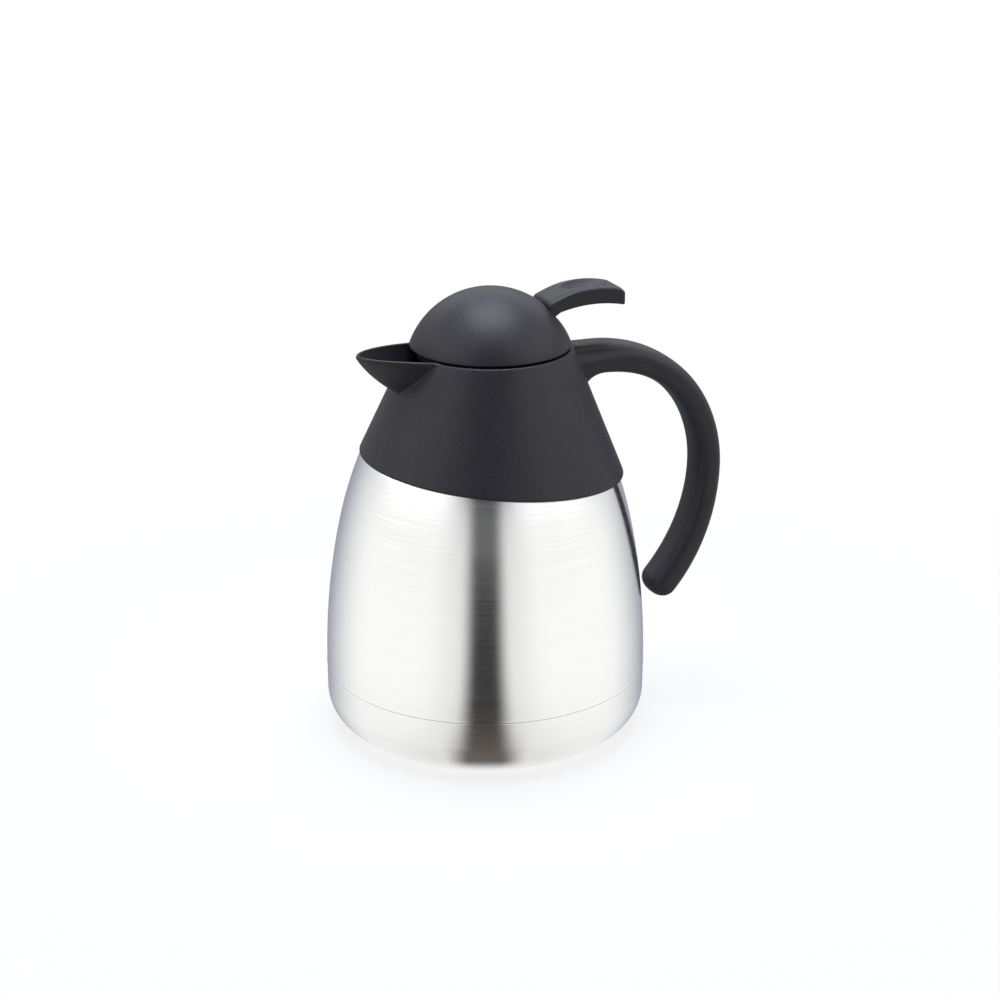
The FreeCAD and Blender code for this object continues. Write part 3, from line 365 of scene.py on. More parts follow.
# %% The lamp
LAMP_PLACE = Vector((0.035, 0.09, 1.15))
LAMP_TARGET = Vector((0.0, 0.0, 0.15))
LAMP_SIDE = 0.76
LAMP_POWER = 15.5
LAMP_COLOUR = (0.82, 0.87, 1.0)


def make_softbox():
    """A square lamp that faces its target."""
    lamp = bpy.data.lights.new("top_softbox", "AREA")
    lamp.size = LAMP_SIDE
    lamp.energy = LAMP_POWER
    lamp.color = LAMP_COLOUR
    panel = bpy.data.objects.new("top_softbox", lamp)
    panel.location = LAMP_PLACE
    panel.rotation_euler = (LAMP_TARGET - LAMP_PLACE).to_track_quat("-Z", "Y").to_euler()
    bpy.context.scene.collection.objects.link(panel)
    return panel


bpy.context.scene.view_settings.view_transform = "Standard"
print(f"{make_softbox().name}: {LAMP_POWER} W")

# %% [markdown]
# ## Brushed steel
# A belt runs round the bottle and leaves fine scratches along the turn. A picture of scratches would show
# where its ends meet. Noise squeezed in height and stretched across has no ends. Anisotropy spreads
# reflections across the scratches, so upright edges in the reflection stay fairly sharp and everything
# smears up and down. At the seam between body and base, a fine line of painted shade stands for the shadow
# under the body's lip.

# %% Metals
SCRATCHES = (26.0, 26.0, 3000.0)
BANDS = (3.0, 3.0, 900.0)
SEAM_LINE = 27.8
SEAM_SHADE_FADE = (0.00006, 0.00026)
SEAM_SHADE_GREY = 0.34
NO_SEAM_SHADE = -1.0


def stretched_noise(start, scale, detail=2.0):
    """Noise on Object coordinates with its own scale along each axis, per metre."""
    where = start.node("ShaderNodeTexCoord", out="Object")
    scaled = start.node("ShaderNodeVectorMath", {"operation": "MULTIPLY"}, {0: where, 1: scale})
    return start.node("ShaderNodeTexNoise", None, {"Vector": scaled, "Scale": 1.0, "Detail": detail}, "Fac")


def finished(start, height, depth, sockets):
    """A Principled shader with a bump of that height pattern, put on the output."""
    bump = start.node("ShaderNodeBump", None, {"Height": height, "Strength": 1.0, "Distance": depth})
    shader = start.node("ShaderNodeBsdfPrincipled", None, {"Normal": bump, **sockets})
    start.node("ShaderNodeOutputMaterial", None, {"Surface": shader})


def brushed_steel(name, light, rough, scratch_depth, seam=NO_SEAM_SHADE):
    """Scratches round the turn in colour, roughness and bump, and a fine line of painted shade at the
    seam's height.
    """
    material, start = new_finish(name)
    scratches = stretched_noise(start, SCRATCHES, 4.0)
    streaks = scratches * 0.8 + stretched_noise(start, BANDS) * 0.2
    dull = tuple(value * 0.97 for value in light)
    brushed = streaks.eased(0.3, 0.7).between((*dull, 1.0), (*light, 1.0))
    where = start.node("ShaderNodeTexCoord", out="Object")
    height = start.node("ShaderNodeSeparateXYZ", None, {0: where}, "Z")
    # Painted shade: the steel's colour turns to a grey line at the seam, for the shadow under the body's
    # lip.
    off_seam_shade = start.maths("ABSOLUTE", height - seam).eased(*SEAM_SHADE_FADE)
    finished(start, scratches, scratch_depth, {
        "Base Color": off_seam_shade.between(grey(SEAM_SHADE_GREY), brushed),
        "Metallic": 1.0,
        "Roughness": rough + (streaks - 0.5) * 0.22,
        "Anisotropic": 0.85,
        "Anisotropic Rotation": 0.25,
    })
    return material


steel = brushed_steel(
    "brushed_steel", light=(0.90, 0.90, 0.895), rough=0.20, scratch_depth=0.0000012, seam=SEAM_LINE * MM)
inner_steel = brushed_steel("satin_steel", light=(0.66, 0.66, 0.66), rough=0.34, scratch_depth=0.000003)
print("metals:", steel.name, inner_steel.name)

# %% [markdown]
# ## Grained black plastic
# The mould is spark-eroded, which leaves a fine matt grain all over the shoulder, lid, lever and handle.
# Grain in the mesh itself would take millions of faces. Noise at that scale gives it in the bump, and a
# slow cloud keeps the black from being one flat tone.

# %% Plastics and rubber
GRAIN = (1500.0, 1500.0, 1500.0)
CLOUDS = (60.0, 60.0, 60.0)


def grained_plastic(name, dark, light, rough, grain_depth, gloss):
    """Fine grain in tone, roughness and bump, with slow clouds in the tone."""
    material, start = new_finish(name)
    grain = stretched_noise(start, GRAIN)
    tone = stretched_noise(start, CLOUDS, 3.0) * 0.5 + grain * 0.5
    finished(start, grain, grain_depth, {
        "Base Color": tone.eased(0.3, 0.7).between((*dark, 1.0), (*light, 1.0)),
        "Roughness": rough + (grain - 0.5) * 0.25,
        "Specular IOR Level": gloss,
    })
    return material


black_plastic = grained_plastic(
    "black_grain", dark=(0.0070, 0.0060, 0.0094), light=(0.0138, 0.0122, 0.0184),
    rough=0.48, grain_depth=0.00007, gloss=0.33)
valve_plastic = grained_plastic(
    "pale_moulding", dark=(0.62, 0.62, 0.60), light=(0.72, 0.72, 0.70),
    rough=0.4, grain_depth=0.00001, gloss=0.5)
silicone = grained_plastic(
    "silicone_rubber", dark=(0.46, 0.46, 0.45), light=(0.58, 0.58, 0.56),
    rough=0.6, grain_depth=0.00001, gloss=0.4)
base_disc = grained_plastic(
    "base_disc", dark=(0.014, 0.014, 0.014), light=(0.03, 0.03, 0.03),
    rough=0.6, grain_depth=0.00004, gloss=0.4)
print("plastics:", black_plastic.name, valve_plastic.name, silicone.name, base_disc.name)

# %% [markdown]
# ## Small metal, and a finish for every solid
# The screws, the spring and the bead that closes the base are small metal pieces, and a cloudy tone is
# enough at their size. Every solid gets the finish that the record's slot names, so that the inside is
# finished too when the lid is lifted.

# %% Small metal
CLOUDY = (400.0, 400.0, 400.0)
CLOUDY_DEPTH = 0.000004


def plated(name, light, rough):
    """Metal with clouds in tone, roughness and bump."""
    material, start = new_finish(name)
    cloud = stretched_noise(start, CLOUDY, 3.0)
    dull = tuple(value * 0.8 for value in light)
    finished(start, cloud, CLOUDY_DEPTH, {
        "Base Color": cloud.between((*dull, 1.0), (*light, 1.0)),
        "Metallic": 1.0,
        "Roughness": rough + (cloud - 0.5) * 0.2,
    })
    return material


SLOT_FINISH = {
    "steel": steel,
    "inner_steel": inner_steel,
    "black_plastic": black_plastic,
    "valve_plastic": valve_plastic,
    "silicone": silicone,
    "base_plate": base_disc,
    "glass_bead": plated("solder_bead", light=(0.4, 0.41, 0.43), rough=0.5),
    "zinc": plated("zinc_plate", light=(0.7, 0.71, 0.72), rough=0.3),
    "spring_steel": plated("spring_wire", light=(0.6, 0.6, 0.62), rough=0.28),
}
slot_of = {part["node"]: part["material_slot"] for part in frame["record"]["subparts"]}
for name, node in nodes.items():
    node.data.materials.clear()
    node.data.materials.append(SLOT_FINISH[slot_of[name]])
print("finished nodes:", len(nodes))

# %% [markdown]
# ## Surfaces from formulas
# A moulded or turned piece is a sheet bent into shape, so it can be written as a grid of points: one
# direction goes along the piece and the other round it. Modifiers could bend a plain sheet in many steps.
# Numpy works out the whole grid at once, and the quads between neighbours come from the grid's numbering.

# %% From grids to a mesh
def grid_faces(rows, columns, ring_rows, ring_columns):
    """Quads between neighbours of a grid, joined round where a direction closes."""
    row = np.arange(rows if ring_rows else rows - 1)[:, None]
    column = np.arange(columns if ring_columns else columns - 1)[None, :]
    next_row = (row + 1) % rows
    next_column = (column + 1) % columns
    corners = np.broadcast_arrays(row * columns + column, row * columns + next_column,
                                  next_row * columns + next_column, next_row * columns + column)
    return np.stack(corners, -1).reshape(-1, 4)


def closed_ends(grid):
    """Shut both ends of a tube with a fan to the middle of its first and last ring."""
    ends = [np.broadcast_to(grid[index].mean(0), (1,) + grid.shape[1:]) for index in (0, -1)]
    return np.concatenate((ends[0], grid, ends[1])), False, True


def make_mesh(name, patches, crease):
    """One mesh of several grids in mm: doubles merged, faces outward, smooth but for sharp edges."""
    points = np.concatenate([grid.reshape(-1, 3) for grid, _, _ in patches]) * MM
    faces = []
    first = 0
    for grid, ring_rows, ring_columns in patches:
        rows, columns = grid.shape[:2]
        faces.append(first + grid_faces(rows, columns, ring_rows, ring_columns))
        first += rows * columns
    mesh = bpy.data.meshes.new(name)
    mesh.from_pydata(points.tolist(), [], np.concatenate(faces).tolist())
    shape = bmesh.new()
    shape.from_mesh(mesh)
    bmesh.ops.remove_doubles(shape, verts=shape.verts, dist=1e-6)
    bmesh.ops.recalc_face_normals(shape, faces=shape.faces)
    shape.to_mesh(mesh)
    shape.free()
    mesh.shade_smooth()
    mesh.set_sharp_from_angle(angle=math.radians(crease))
    return mesh


print("faces of an open grid of 3 by 4 points:", len(grid_faces(3, 4, False, False)))

# %% From a mesh to a piece
CREASE = 34.0


def make_piece(name, patches, body, node, crease=CREASE):
    """A finished piece that stands for a node and moves with its body."""
    mesh = make_mesh(name, patches, crease)
    piece = bpy.data.objects.new(name, mesh)
    bpy.context.scene.collection.objects.link(piece)
    mesh.materials.append(SLOT_FINISH[slot_of[node]])
    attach(piece, body)
    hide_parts(node)
    print(f"{name}: {len(mesh.polygons)} faces")
    return piece


print(f"edges sharper than {CREASE} degrees stay sharp")

# %% [markdown]
# The steel bottle, the seals and the dome are round about an upright axis. The Screw modifier turns a
# profile too. Here the turn is one more formula, so that such a piece is a grid like all the others. A
# profile's corners are true arcs of sweep s. A share t of the way round, the point is
# middle + (sin((1 - t) s) first + sin(t s) last) / sin(s).

# %% Turned profiles
def rounded(corners):
    """A closed outline (across, up, radius): each corner becomes an arc that touches both of its sides."""
    points = np.array([corner[:2] for corner in corners], float)
    before = np.roll(points, 1, 0) - points
    after = np.roll(points, -1, 0) - points
    before /= np.linalg.norm(before, axis=1)[:, None]
    after /= np.linalg.norm(after, axis=1)[:, None]
    outline = []
    for here, back, ahead, (_, _, radius) in zip(points, before, after, corners):
        half = math.acos(np.clip(back @ ahead, -1, 1)) / 2
        middle = here + (back + ahead) / np.linalg.norm(back + ahead) * radius / math.sin(half)
        first = here + back * radius / math.tan(half) - middle
        last = here + ahead * radius / math.tan(half) - middle
        sweep = math.pi - 2 * half
        share = np.linspace(0, 1, 6 + int(radius * 1.5))[:, None]
        spoke = np.sin((1 - share) * sweep) * first + np.sin(share * sweep) * last
        outline.append(middle + spoke / math.sin(sweep))
    return np.concatenate(outline)


def rounded_box(left, low, right, high, radius):
    """A rectangle with four equal round corners."""
    return rounded([(left, low, radius), (right, low, radius), (right, high, radius), (left, high, radius)])


def turned(profile, axis_x=0.0, columns=240):
    """Carry a closed (radius, height) profile once round an upright axis."""
    turn = np.linspace(0, 2 * np.pi, columns, endpoint=False)
    radius = profile[:, :1]
    height = profile[:, 1:] + 0 * turn
    return np.stack((axis_x - radius * np.cos(turn), radius * np.sin(turn), height), -1), True, True


print("points round a square with round corners:", len(rounded_box(1.0, 0.0, 3.0, 2.0, 0.2)))

# %% [markdown]
# ## The steel base and body
# The bottle's bottom is a drawn cup, welded to the body at a seam 28 mm up. Both edges are slightly rolled
# there, and the steel's finish darkens a fine line at the seam as painted shade. A weld bead could be
# modelled, but at this size only its line is seen, and in the turned profiles the body's lip hangs a hair
# over the cup's edge instead.

# %% Base cup
BODY_R = 70.0
WALL = 0.7
SEAM_Z = 28.0
BASE_BEND = 16.4
FOOT_R = 47.6
HOLLOW_R = 45.6
HOLLOW_Z = 3.0
KNOB_R = 6.0
KNOB_Z = 5.0
HOLE_R = 1.5
base_profile = rounded([
    (BODY_R, SEAM_Z - 0.7, 0.3), (BODY_R - 0.2, SEAM_Z, 0.1), (BODY_R - WALL, SEAM_Z, 0.1),
    (BODY_R - WALL, WALL, BASE_BEND - WALL), (FOOT_R, WALL, 0.6), (HOLLOW_R, HOLLOW_Z + WALL, 0.6),
    (KNOB_R + WALL, HOLLOW_Z + WALL, 0.2), (KNOB_R, KNOB_Z + WALL, 0.2), (HOLE_R, KNOB_Z + WALL, 0.1),
    (HOLE_R, KNOB_Z, 0.1), (KNOB_R - WALL, KNOB_Z, 0.4), (KNOB_R, HOLLOW_Z, 0.4),
    (HOLLOW_R, HOLLOW_Z, 0.8), (FOOT_R, 0.0, 0.8), (BODY_R, 0.0, BASE_BEND),
])
make_piece("rolled_base", [turned(base_profile, 0.0, 360)], "jug", "base_cup")

# %% Body
SIDE_ARC = 305.0
DRAWN_IN = 1.3
DRAWN_FROM = 92.0
DRAWN_RUN = 32.0
BODY_TOP = 124.2
LIP_HANG = 0.12
LIP_TOP = 30.0
NECK_R = 31.0


def steel_reach(z):
    """Radius of the bowed side: an arc of 305 mm, drawn in a little more under the shoulder."""
    arc = BODY_R - SIDE_ARC + np.sqrt(SIDE_ARC ** 2 - (z - SEAM_Z) ** 2)
    return arc - DRAWN_IN * np.clip((z - DRAWN_FROM) / DRAWN_RUN, 0, 1) ** 2


def body_profile():
    """The side from the seam up, the cone and the neck inside the shoulder, and back down the inside."""
    z = SEAM_LINE + (BODY_TOP - SEAM_LINE) * np.linspace(0, 1, 110) ** 1.25
    r = steel_reach(z) + LIP_HANG * np.clip((LIP_TOP - z) / (LIP_TOP - SEAM_LINE), 0, 1) ** 2
    outer = np.column_stack((r, z))
    inner = np.column_stack((r - WALL, z))[::-1]
    neck = [(NECK_R, 142.1), (NECK_R, 151.4), (NECK_R - 0.2, 151.8), (NECK_R - WALL, 151.8),
            (NECK_R - WALL, 142.4)]
    lip = [(69.4, 27.5), (69.75, 27.5), (69.9, 27.55)]
    return np.concatenate((outer, neck, inner, lip))


make_piece("brushed_body", [turned(body_profile(), 0.0, 360)], "jug", "outer_shell")

# %% [markdown]
# ## The shoulder and its spout
# The shoulder is a leaning cone whose top closes round the lid, and the spout grows out of its front. Two
# solids joined by a Boolean would leave a hard line between them. Seen from the lid's axis every point of
# the outside lies in its own direction, so one distance for each direction and height describes it: the
# larger of the cone's and the spout's, with a small fillet where they meet.

# %% The cone as a distance
LID_X = 2.3
RIM_Z = 169.6
RIM_R = 34.8
EDGE_Z = 118.9
EDGE_R = 57.04
SKIRT_Z = 105.31
CONE_SLOPE = (EDGE_R - RIM_R) / (RIM_Z - EDGE_Z)


def cone_middle(z):
    """X of the leaning cone's axis at a height."""
    return LID_X * (z - SKIRT_Z) / (RIM_Z - SKIRT_Z)


def cone_radius(z):
    """Radius of the cone at a height."""
    return RIM_R + CONE_SLOPE * (RIM_Z - z)


def cone_reach(turn, z):
    """Distance to the cone, a circle of radius R set e ahead: e cos t + sqrt(R^2 - (e sin t)^2)."""
    ahead = LID_X - cone_middle(z)
    return ahead * np.cos(turn) + np.sqrt(cone_radius(z) ** 2 - (ahead * np.sin(turn)) ** 2)


print(f"cone radius: {cone_radius(EDGE_Z):.1f} mm below, {cone_radius(RIM_Z):.1f} mm at the rim")

# %% The spout as a distance
SPOUT_REACH = 57.8
KEEL_REACH = 38.83
SPOUT_HALF = 19.6
KEEL_HALF = 12.6
KEEL_DEPTH = 16.5
KEEL_FULLNESS = 0.55
SPOUT_CROSS = 2.2
TIP_BLUNT = 0.016


def horn_reach(turn, z, wall):
    """Distance to the spout: where the ray meets the overlap of two ovals, each shifted to one side."""
    depth = np.clip((RIM_Z - z) / KEEL_DEPTH, -0.2, 1.5)
    slip = KEEL_FULLNESS * depth + (1 - KEEL_FULLNESS) * depth ** 2
    reach = SPOUT_REACH - (SPOUT_REACH - KEEL_REACH) * slip - wall
    width = SPOUT_HALF - (SPOUT_HALF - KEEL_HALF) * slip - wall + SPOUT_CROSS
    length = reach / np.sqrt(1 - (SPOUT_CROSS / width) ** 2)
    side = np.sqrt(np.sin(turn) ** 2 + TIP_BLUNT ** 2) - TIP_BLUNT
    ahead = np.cos(turn)
    a = (side / width) ** 2 + (ahead / length) ** 2
    b = SPOUT_CROSS * side / width ** 2 - LID_X * ahead / length ** 2
    c = (SPOUT_CROSS / width) ** 2 + (LID_X / length) ** 2 - 1
    return np.where(ahead > 0.1, (np.sqrt(np.maximum(b * b - a * c, 0)) - b) / a, 0)


print(f"spout tip: {horn_reach(0.0, RIM_Z, 0.0):.1f} mm from the lid's axis")

# %% Cone and spout together
MOUTH_R = 32.0
SPOUT_WALL = 1.9
SPOUT_FILLET = 0.9
CHANNEL_FILLET = 0.8


def soft_max(first, second, blend):
    """The larger of two values, with a fillet where they are closer than blend."""
    near = np.clip(1 - np.abs(first - second) / blend, 0, 1)
    return np.maximum(first, second) + blend * near ** 2 / 4


def outside(turn, z):
    """Distance to the shoulder's outside: cone or spout."""
    return soft_max(cone_reach(turn, z), horn_reach(turn, z, 0.0), SPOUT_FILLET)


def inside(turn, z):
    """Distance to the mouth's wall, or to the channel one wall inside the spout."""
    return soft_max(MOUTH_R + 0 * turn * z, horn_reach(turn, z, SPOUT_WALL), CHANNEL_FILLET)


print(f"reach at the rim: {outside(0.0, RIM_Z):.1f} mm ahead, {outside(np.pi, RIM_Z):.1f} mm behind")

# %% [markdown]
# The shoulder's grid starts at the lower edge, climbs the outside, rolls over the rim, goes down the mouth
# and comes back under the ledge. Its columns stand closer together at the spout's tip. A Bevel modifier
# could round the edges afterwards. Here they are part of the grid, so that rim and spout stay one smooth
# surface. Each edge is an arc of radius r that touches a wall whose normal points up by q, and a point at
# angle p on it lies at distance + r (cos p - cos q) and height + r (sin p - sin q).

# %% The shoulder's edges
LIP_RISE = 2.1
RISE_FROM = 26.0
RISE_LOW = 153.0
LEAN_STEP = 0.2
even = np.linspace(-np.pi, np.pi, 480, endpoint=False)
TURN = even - 0.2 * np.sin(2 * even)
ARC = np.linspace(0, 1, 9)[:, None]


def spot(reach, z, axis_x=LID_X):
    """Points at a distance from an upright axis and at a height, in every direction."""
    reach, z = np.broadcast_arrays(np.atleast_2d(reach), np.atleast_2d(z))
    return np.stack((axis_x - reach * np.cos(TURN), reach * np.sin(TURN), z), -1)


def lean_at(distance, z):
    """Angle by which a wall leans out as it rises."""
    return np.arctan((distance(TURN, z) - distance(TURN, z - LEAN_STEP)) / LEAN_STEP)


def rolled(distance, z, lean, radius, first, last):
    """An arc that touches a wall at height z, from one angle to another."""
    angle = first + (last - first) * ARC
    return spot(distance(TURN, z) + radius * (np.cos(angle) - np.cos(lean)),
                z + radius * (np.sin(angle) - np.sin(lean)))


def lip_raised(grid):
    """Let the spout's rim climb towards its tip, and leave the keel where it is."""
    ahead = np.clip((-grid[..., 0] - RISE_FROM) / (SPOUT_REACH - RISE_FROM), 0, 1) ** 0.75
    grid[..., 2] += LIP_RISE * ahead * np.clip((grid[..., 2] - RISE_LOW) / (RIM_Z - RISE_LOW), 0, 1)
    return grid


print("directions round the lid:", len(TURN))

# %% The shoulder's outside
EDGE_SLOPE = 0.09805
EDGE_ROLL = 0.8
RIM_ROLL = 0.9


def outer_rows():
    """The rolled lower edge, the outside, and the outer half of the rim's round."""
    low = EDGE_Z + 0 * TURN
    for _ in range(4):
        low = EDGE_Z - EDGE_SLOPE * (LID_X - cone_reach(TURN, low) * np.cos(TURN))
    lean = -lean_at(cone_reach, low)
    start = low + EDGE_ROLL * (1 + np.sin(lean))
    edge = rolled(cone_reach, start, lean, EDGE_ROLL, -np.pi / 2, lean)
    lean = -lean_at(outside, RIM_Z)
    end = RIM_Z - RIM_ROLL * (1 - np.sin(lean))
    z = start + (end - start) * np.linspace(0, 1, 80)[1:-1, None]
    return [edge, spot(outside(TURN, z), z), rolled(outside, end, lean, RIM_ROLL, lean, np.pi / 2)]


shoulder_rows = outer_rows()
print("rows outside:", sum(map(len, shoulder_rows)))

# %% The shoulder's mouth
MOUTH_ROLL = 0.75
LEDGE_Z = 158.0
LEDGE_FILLET = 0.4


def mouth_rows():
    """The inner half of the rim's round, the mouth with the spout's channel, and the turn to the ledge."""
    lean = np.pi - lean_at(inside, RIM_Z)
    top = RIM_Z - MOUTH_ROLL + MOUTH_ROLL * np.sin(lean)
    low = LEDGE_Z + LEDGE_FILLET
    z = top + (low - top) * np.linspace(0, 1, 26)[1:, None]
    toe = spot(inside(TURN, low + 0 * TURN) - LEDGE_FILLET, LEDGE_Z)
    return [rolled(inside, top, lean, MOUTH_ROLL, np.pi / 2, lean), spot(inside(TURN, z), z), toe]


shoulder_rows += mouth_rows()
print("rows with the mouth:", sum(map(len, shoulder_rows)))

# %% The shoulder's underside
SEAT_Z = 157.0
THROAT_R = 24.0
CEILING_Z = 154.0
COLLAR_Z = 147.0
COLLAR_R = (31.15, 33.6)
EDGE_MIDDLE = 55.0
STEEL_GAP = 0.12


def under_rows():
    """Rings from the ledge through the throat, round the steel neck's collar and down inside the cone."""
    edge_inside = EDGE_Z + EDGE_SLOPE * EDGE_MIDDLE * np.cos(TURN)
    rings = [
        (LID_X, MOUTH_R - LEDGE_FILLET, LEDGE_Z), (LID_X, MOUTH_R - LEDGE_FILLET, SEAT_Z),
        (LID_X, THROAT_R, SEAT_Z), (LID_X, THROAT_R, CEILING_Z),
        (0.0, COLLAR_R[0], CEILING_Z), (0.0, COLLAR_R[0], COLLAR_Z),
        (0.0, COLLAR_R[1], COLLAR_Z), (0.0, COLLAR_R[1], CEILING_Z),
        (1.74, 39.24, CEILING_Z), (0.69, 52.19, 126.4), (0.0, 53.2, 124.6),
        (0.0, steel_reach(edge_inside) + STEEL_GAP, edge_inside),
    ]
    return [spot(radius + 0 * TURN, z + 0 * TURN, axis_x) for axis_x, radius, z in rings]


shoulder_rows += under_rows()
shoulder_grid = lip_raised(np.concatenate(shoulder_rows))
make_piece("shoulder_and_spout", [(shoulder_grid, True, True)], "jug", "shoulder")

# %% [markdown]
# ## The handle
# The handle is one moulding that grows out of the cone's back, bends down and ends free. It is a
# rounded-rectangle section carried along a short straight, a bend and a wider arc. A curve with a bevel
# object grows or shrinks its section evenly. This section changes in depth only, and its root has to end
# on the cone.

# %% The handle's path
HANDLE_Z = 160.0
BEND_START = 50.67
BEND_R = 54.93
BEND_BULGE = 1.2
GRIP_R = 82.5
GRIP_SWEEP = math.radians(41.0)
ROOT_HALF = 7.2
BEND_HALF = 5.85
GRIP_HALF = 5.95
END_HALF = 6.9


def eased_between(low, high, share):
    """From low to high along half a cosine wave."""
    return low + (high - low) * (1 - np.cos(np.pi * np.clip(share, 0, 1))) / 2


def handle_path():
    """Middle (x, z), heading below +X and half depth along the bend and the grip."""
    share = np.linspace(0, 1, 64)
    turn = share * np.pi / 2
    bend = np.stack((BEND_START + BEND_R * np.sin(turn), HANDLE_Z - BEND_R * (1 - np.cos(turn))), 1)
    bulge = BEND_BULGE * np.sin(2 * turn) ** 2 * np.cos(turn)
    bend += bulge[:, None] * np.stack((np.sin(turn), np.cos(turn)), 1)
    bend_half = np.where(share < 0.5, eased_between(ROOT_HALF, BEND_HALF, 0.2 + 1.6 * share),
                         eased_between(BEND_HALF, GRIP_HALF, 2 * share - 1))
    sweep = np.linspace(0, 1, 56)[1:]
    middle = BEND_START + BEND_R - GRIP_R
    grip = np.stack((middle + GRIP_R * np.cos(sweep * GRIP_SWEEP),
                     HANDLE_Z - BEND_R - GRIP_R * np.sin(sweep * GRIP_SWEEP)), 1)
    heading = np.concatenate((turn, np.pi / 2 + sweep * GRIP_SWEEP))
    half = np.concatenate((bend_half, eased_between(GRIP_HALF, END_HALF, sweep)))
    return np.concatenate((bend, grip)), heading, half


print("steps along the handle:", len(handle_path()[0]))

# %% The handle's sections
HANDLE_HALF = 9.5
SECTION_POWER = 2.5
ROOT_SUNK = 0.4
END_FULLNESS = 0.85
END_REACH = 0.98
AROUND = np.linspace(0, 2 * np.pi, 176, endpoint=False)


def cone_face(y, z):
    """Where the cone's back lies, for the handle's root to grow out of it."""
    return cone_middle(z) + np.sqrt(cone_radius(z) ** 2 - y ** 2)


def handle_section(depth):
    """Across and up round a section |a / w|^n + |b / h|^n = 1."""
    across = np.abs(np.cos(AROUND) / HANDLE_HALF) ** SECTION_POWER
    up = np.abs(np.sin(AROUND) / depth) ** SECTION_POWER
    size = (across + up) ** (-1 / SECTION_POWER)
    return size * np.cos(AROUND), size * np.sin(AROUND)


def handle_end(middle, heading):
    """The free end: sections that run out over a quarter turn and shrink by a power of its cosine."""
    dome = np.linspace(0, np.pi / 2, 16)[1:, None]
    small = np.cos(dome) ** END_FULLNESS
    across, up = handle_section(END_HALF)
    tip = middle + END_HALF * END_REACH * np.sin(dome) * np.array((np.cos(heading), -np.sin(heading)))
    return np.stack((tip[:, :1] + small * up * np.sin(heading), small * across,
                     tip[:, 1:] + small * up * np.cos(heading)), -1)


def handle_rows():
    """Sections from just inside the cone's face through the root, the bend and the grip to the end."""
    path, heading, half = handle_path()
    share = np.linspace(0, 1, 26)[:-1, None]
    across, up = handle_section(ROOT_HALF + (half[0] - ROOT_HALF) * share)
    x = (cone_face(across, HANDLE_Z + up) - ROOT_SUNK) * (1 - share) + BEND_START * share
    root = np.stack((x, across, HANDLE_Z + up), -1)
    across, up = handle_section(half[:, None])
    tilt = heading[:, None]
    body = np.stack((path[:, :1] + up * np.sin(tilt), across, path[:, 1:] + up * np.cos(tilt)), -1)
    return np.concatenate((root, body, handle_end(path[-1], heading[-1])))


plain_handle = handle_rows()
print("handle sections and points round each:", plain_handle.shape[:2])

# %% [markdown]
# Near the cone a groove runs along each side under the handle's spine, and the underside flares into the
# cone. Sculpting would shape them by eye. Here each is a soft bump over two numbers of a point: its run,
# which is how far it stands off the cone, and its level, from -1 on the underside to 1 on the spine.

# %% The handle's root
ROOT_LOW = 130.0
ROOT_RUN = 32.0
FAR_RUN = 60.0
GROOVE = 1.8
GROOVE_RUN = 27.0
GROOVE_LEVEL = 0.42
GROOVE_BELOW = 0.32
GROOVE_ABOVE = 0.16
SPINE = 0.2
SPINE_RUN = 13.0
SPINE_LEVEL = 0.99
SPINE_WIDTH = 0.008
FLARE = 5.4
FLARE_RUN = 10.5
FLARE_AHEAD = 0.4


def smooth(value):
    """A smooth step from 0 to 1."""
    value = np.clip(value, 0, 1)
    return value * value * (3 - 2 * value)


def root_shaped(grid):
    """Draw the groove and the spine's crease in towards the handle's middle, and flare the underside."""
    upright = grid[..., 2] > ROOT_LOW
    face = cone_face(grid[..., 1], np.maximum(grid[..., 2], ROOT_LOW))
    run = np.where(upright, np.maximum(grid[..., 0] - face, 0), FAR_RUN)
    level = np.sin(AROUND) + 0 * run
    width = np.where(level < GROOVE_LEVEL, GROOVE_BELOW, GROOVE_ABOVE)
    groove = GROOVE * smooth(1.15 - run / GROOVE_RUN) * np.exp(-((level - GROOVE_LEVEL) / width) ** 2)
    crease = SPINE * smooth(1 - run / SPINE_RUN) * np.exp(-((level - SPINE_LEVEL) / SPINE_WIDTH) ** 2)
    pull = 1 - (groove + crease) / np.hypot(grid[..., 1], grid[..., 2] - HANDLE_Z)
    near_root = np.clip(1 - run / FLARE_RUN, 0, 1)
    flare = FLARE * near_root ** 2 * np.clip(-level, 0, 1) ** 1.5
    drawn = HANDLE_Z + (grid[..., 2] - HANDLE_Z) * pull
    grid[..., 1] *= np.where(upright, pull, 1)
    grid[..., 2] = np.where(upright & (run < ROOT_RUN), drawn, grid[..., 2]) - flare
    grid[..., 0] += flare * FLARE_AHEAD * near_root
    return grid


make_piece("handle_moulding", [closed_ends(root_shaped(plain_handle))], "jug", "handle", 50.0)

# %% [markdown]
# ## The thumb lever
# The lever rocks on a pin inside the lid. Its top is bowed, with a long dish for the thumb, a sloping facet
# on each side of the dish and tall side faces. A Boolean could scoop out the dish, but then no line of
# the grid would follow its rim. Here the top is a height over the plan: the lower of the facet and the
# dish, blended a little so that the edges catch the light, with one line of the grid along the rim.

# %% The lever's top
LEVER_ROOT = 25.0
PIVOT = (19.4, 179.333)
DRUM = 5.0
CROWN = (44.59, 149.55, 43.0)
CROWN_MIDDLE = 40.0
TIP_LIFT = 0.9
TIP_RUN = 17.0
ROOT_SINK = 0.5
SINK_RUN = 13.0
TIP_FROM = 57.3
TIP_ARCH = (56.446, 186.6, 5.0)
DISH_X = 44.6
DISH_Z = 189.6
DISH_ACROSS = 12.0
DISH_ALONG = 95.0
FACET_FROM = 6.0
FACET_SLOPE = 0.18
ROOT_ROUND = 1.6
ROOT_FALL = 0.6
RIM_BLEND = 0.1
HEEL_SLOPE = 0.446


def arch(x, middle_x, middle_z, radius):
    """Height of a circle's upper half over x."""
    return middle_z + np.sqrt(np.maximum(radius ** 2 - (x - middle_x) ** 2, 0))


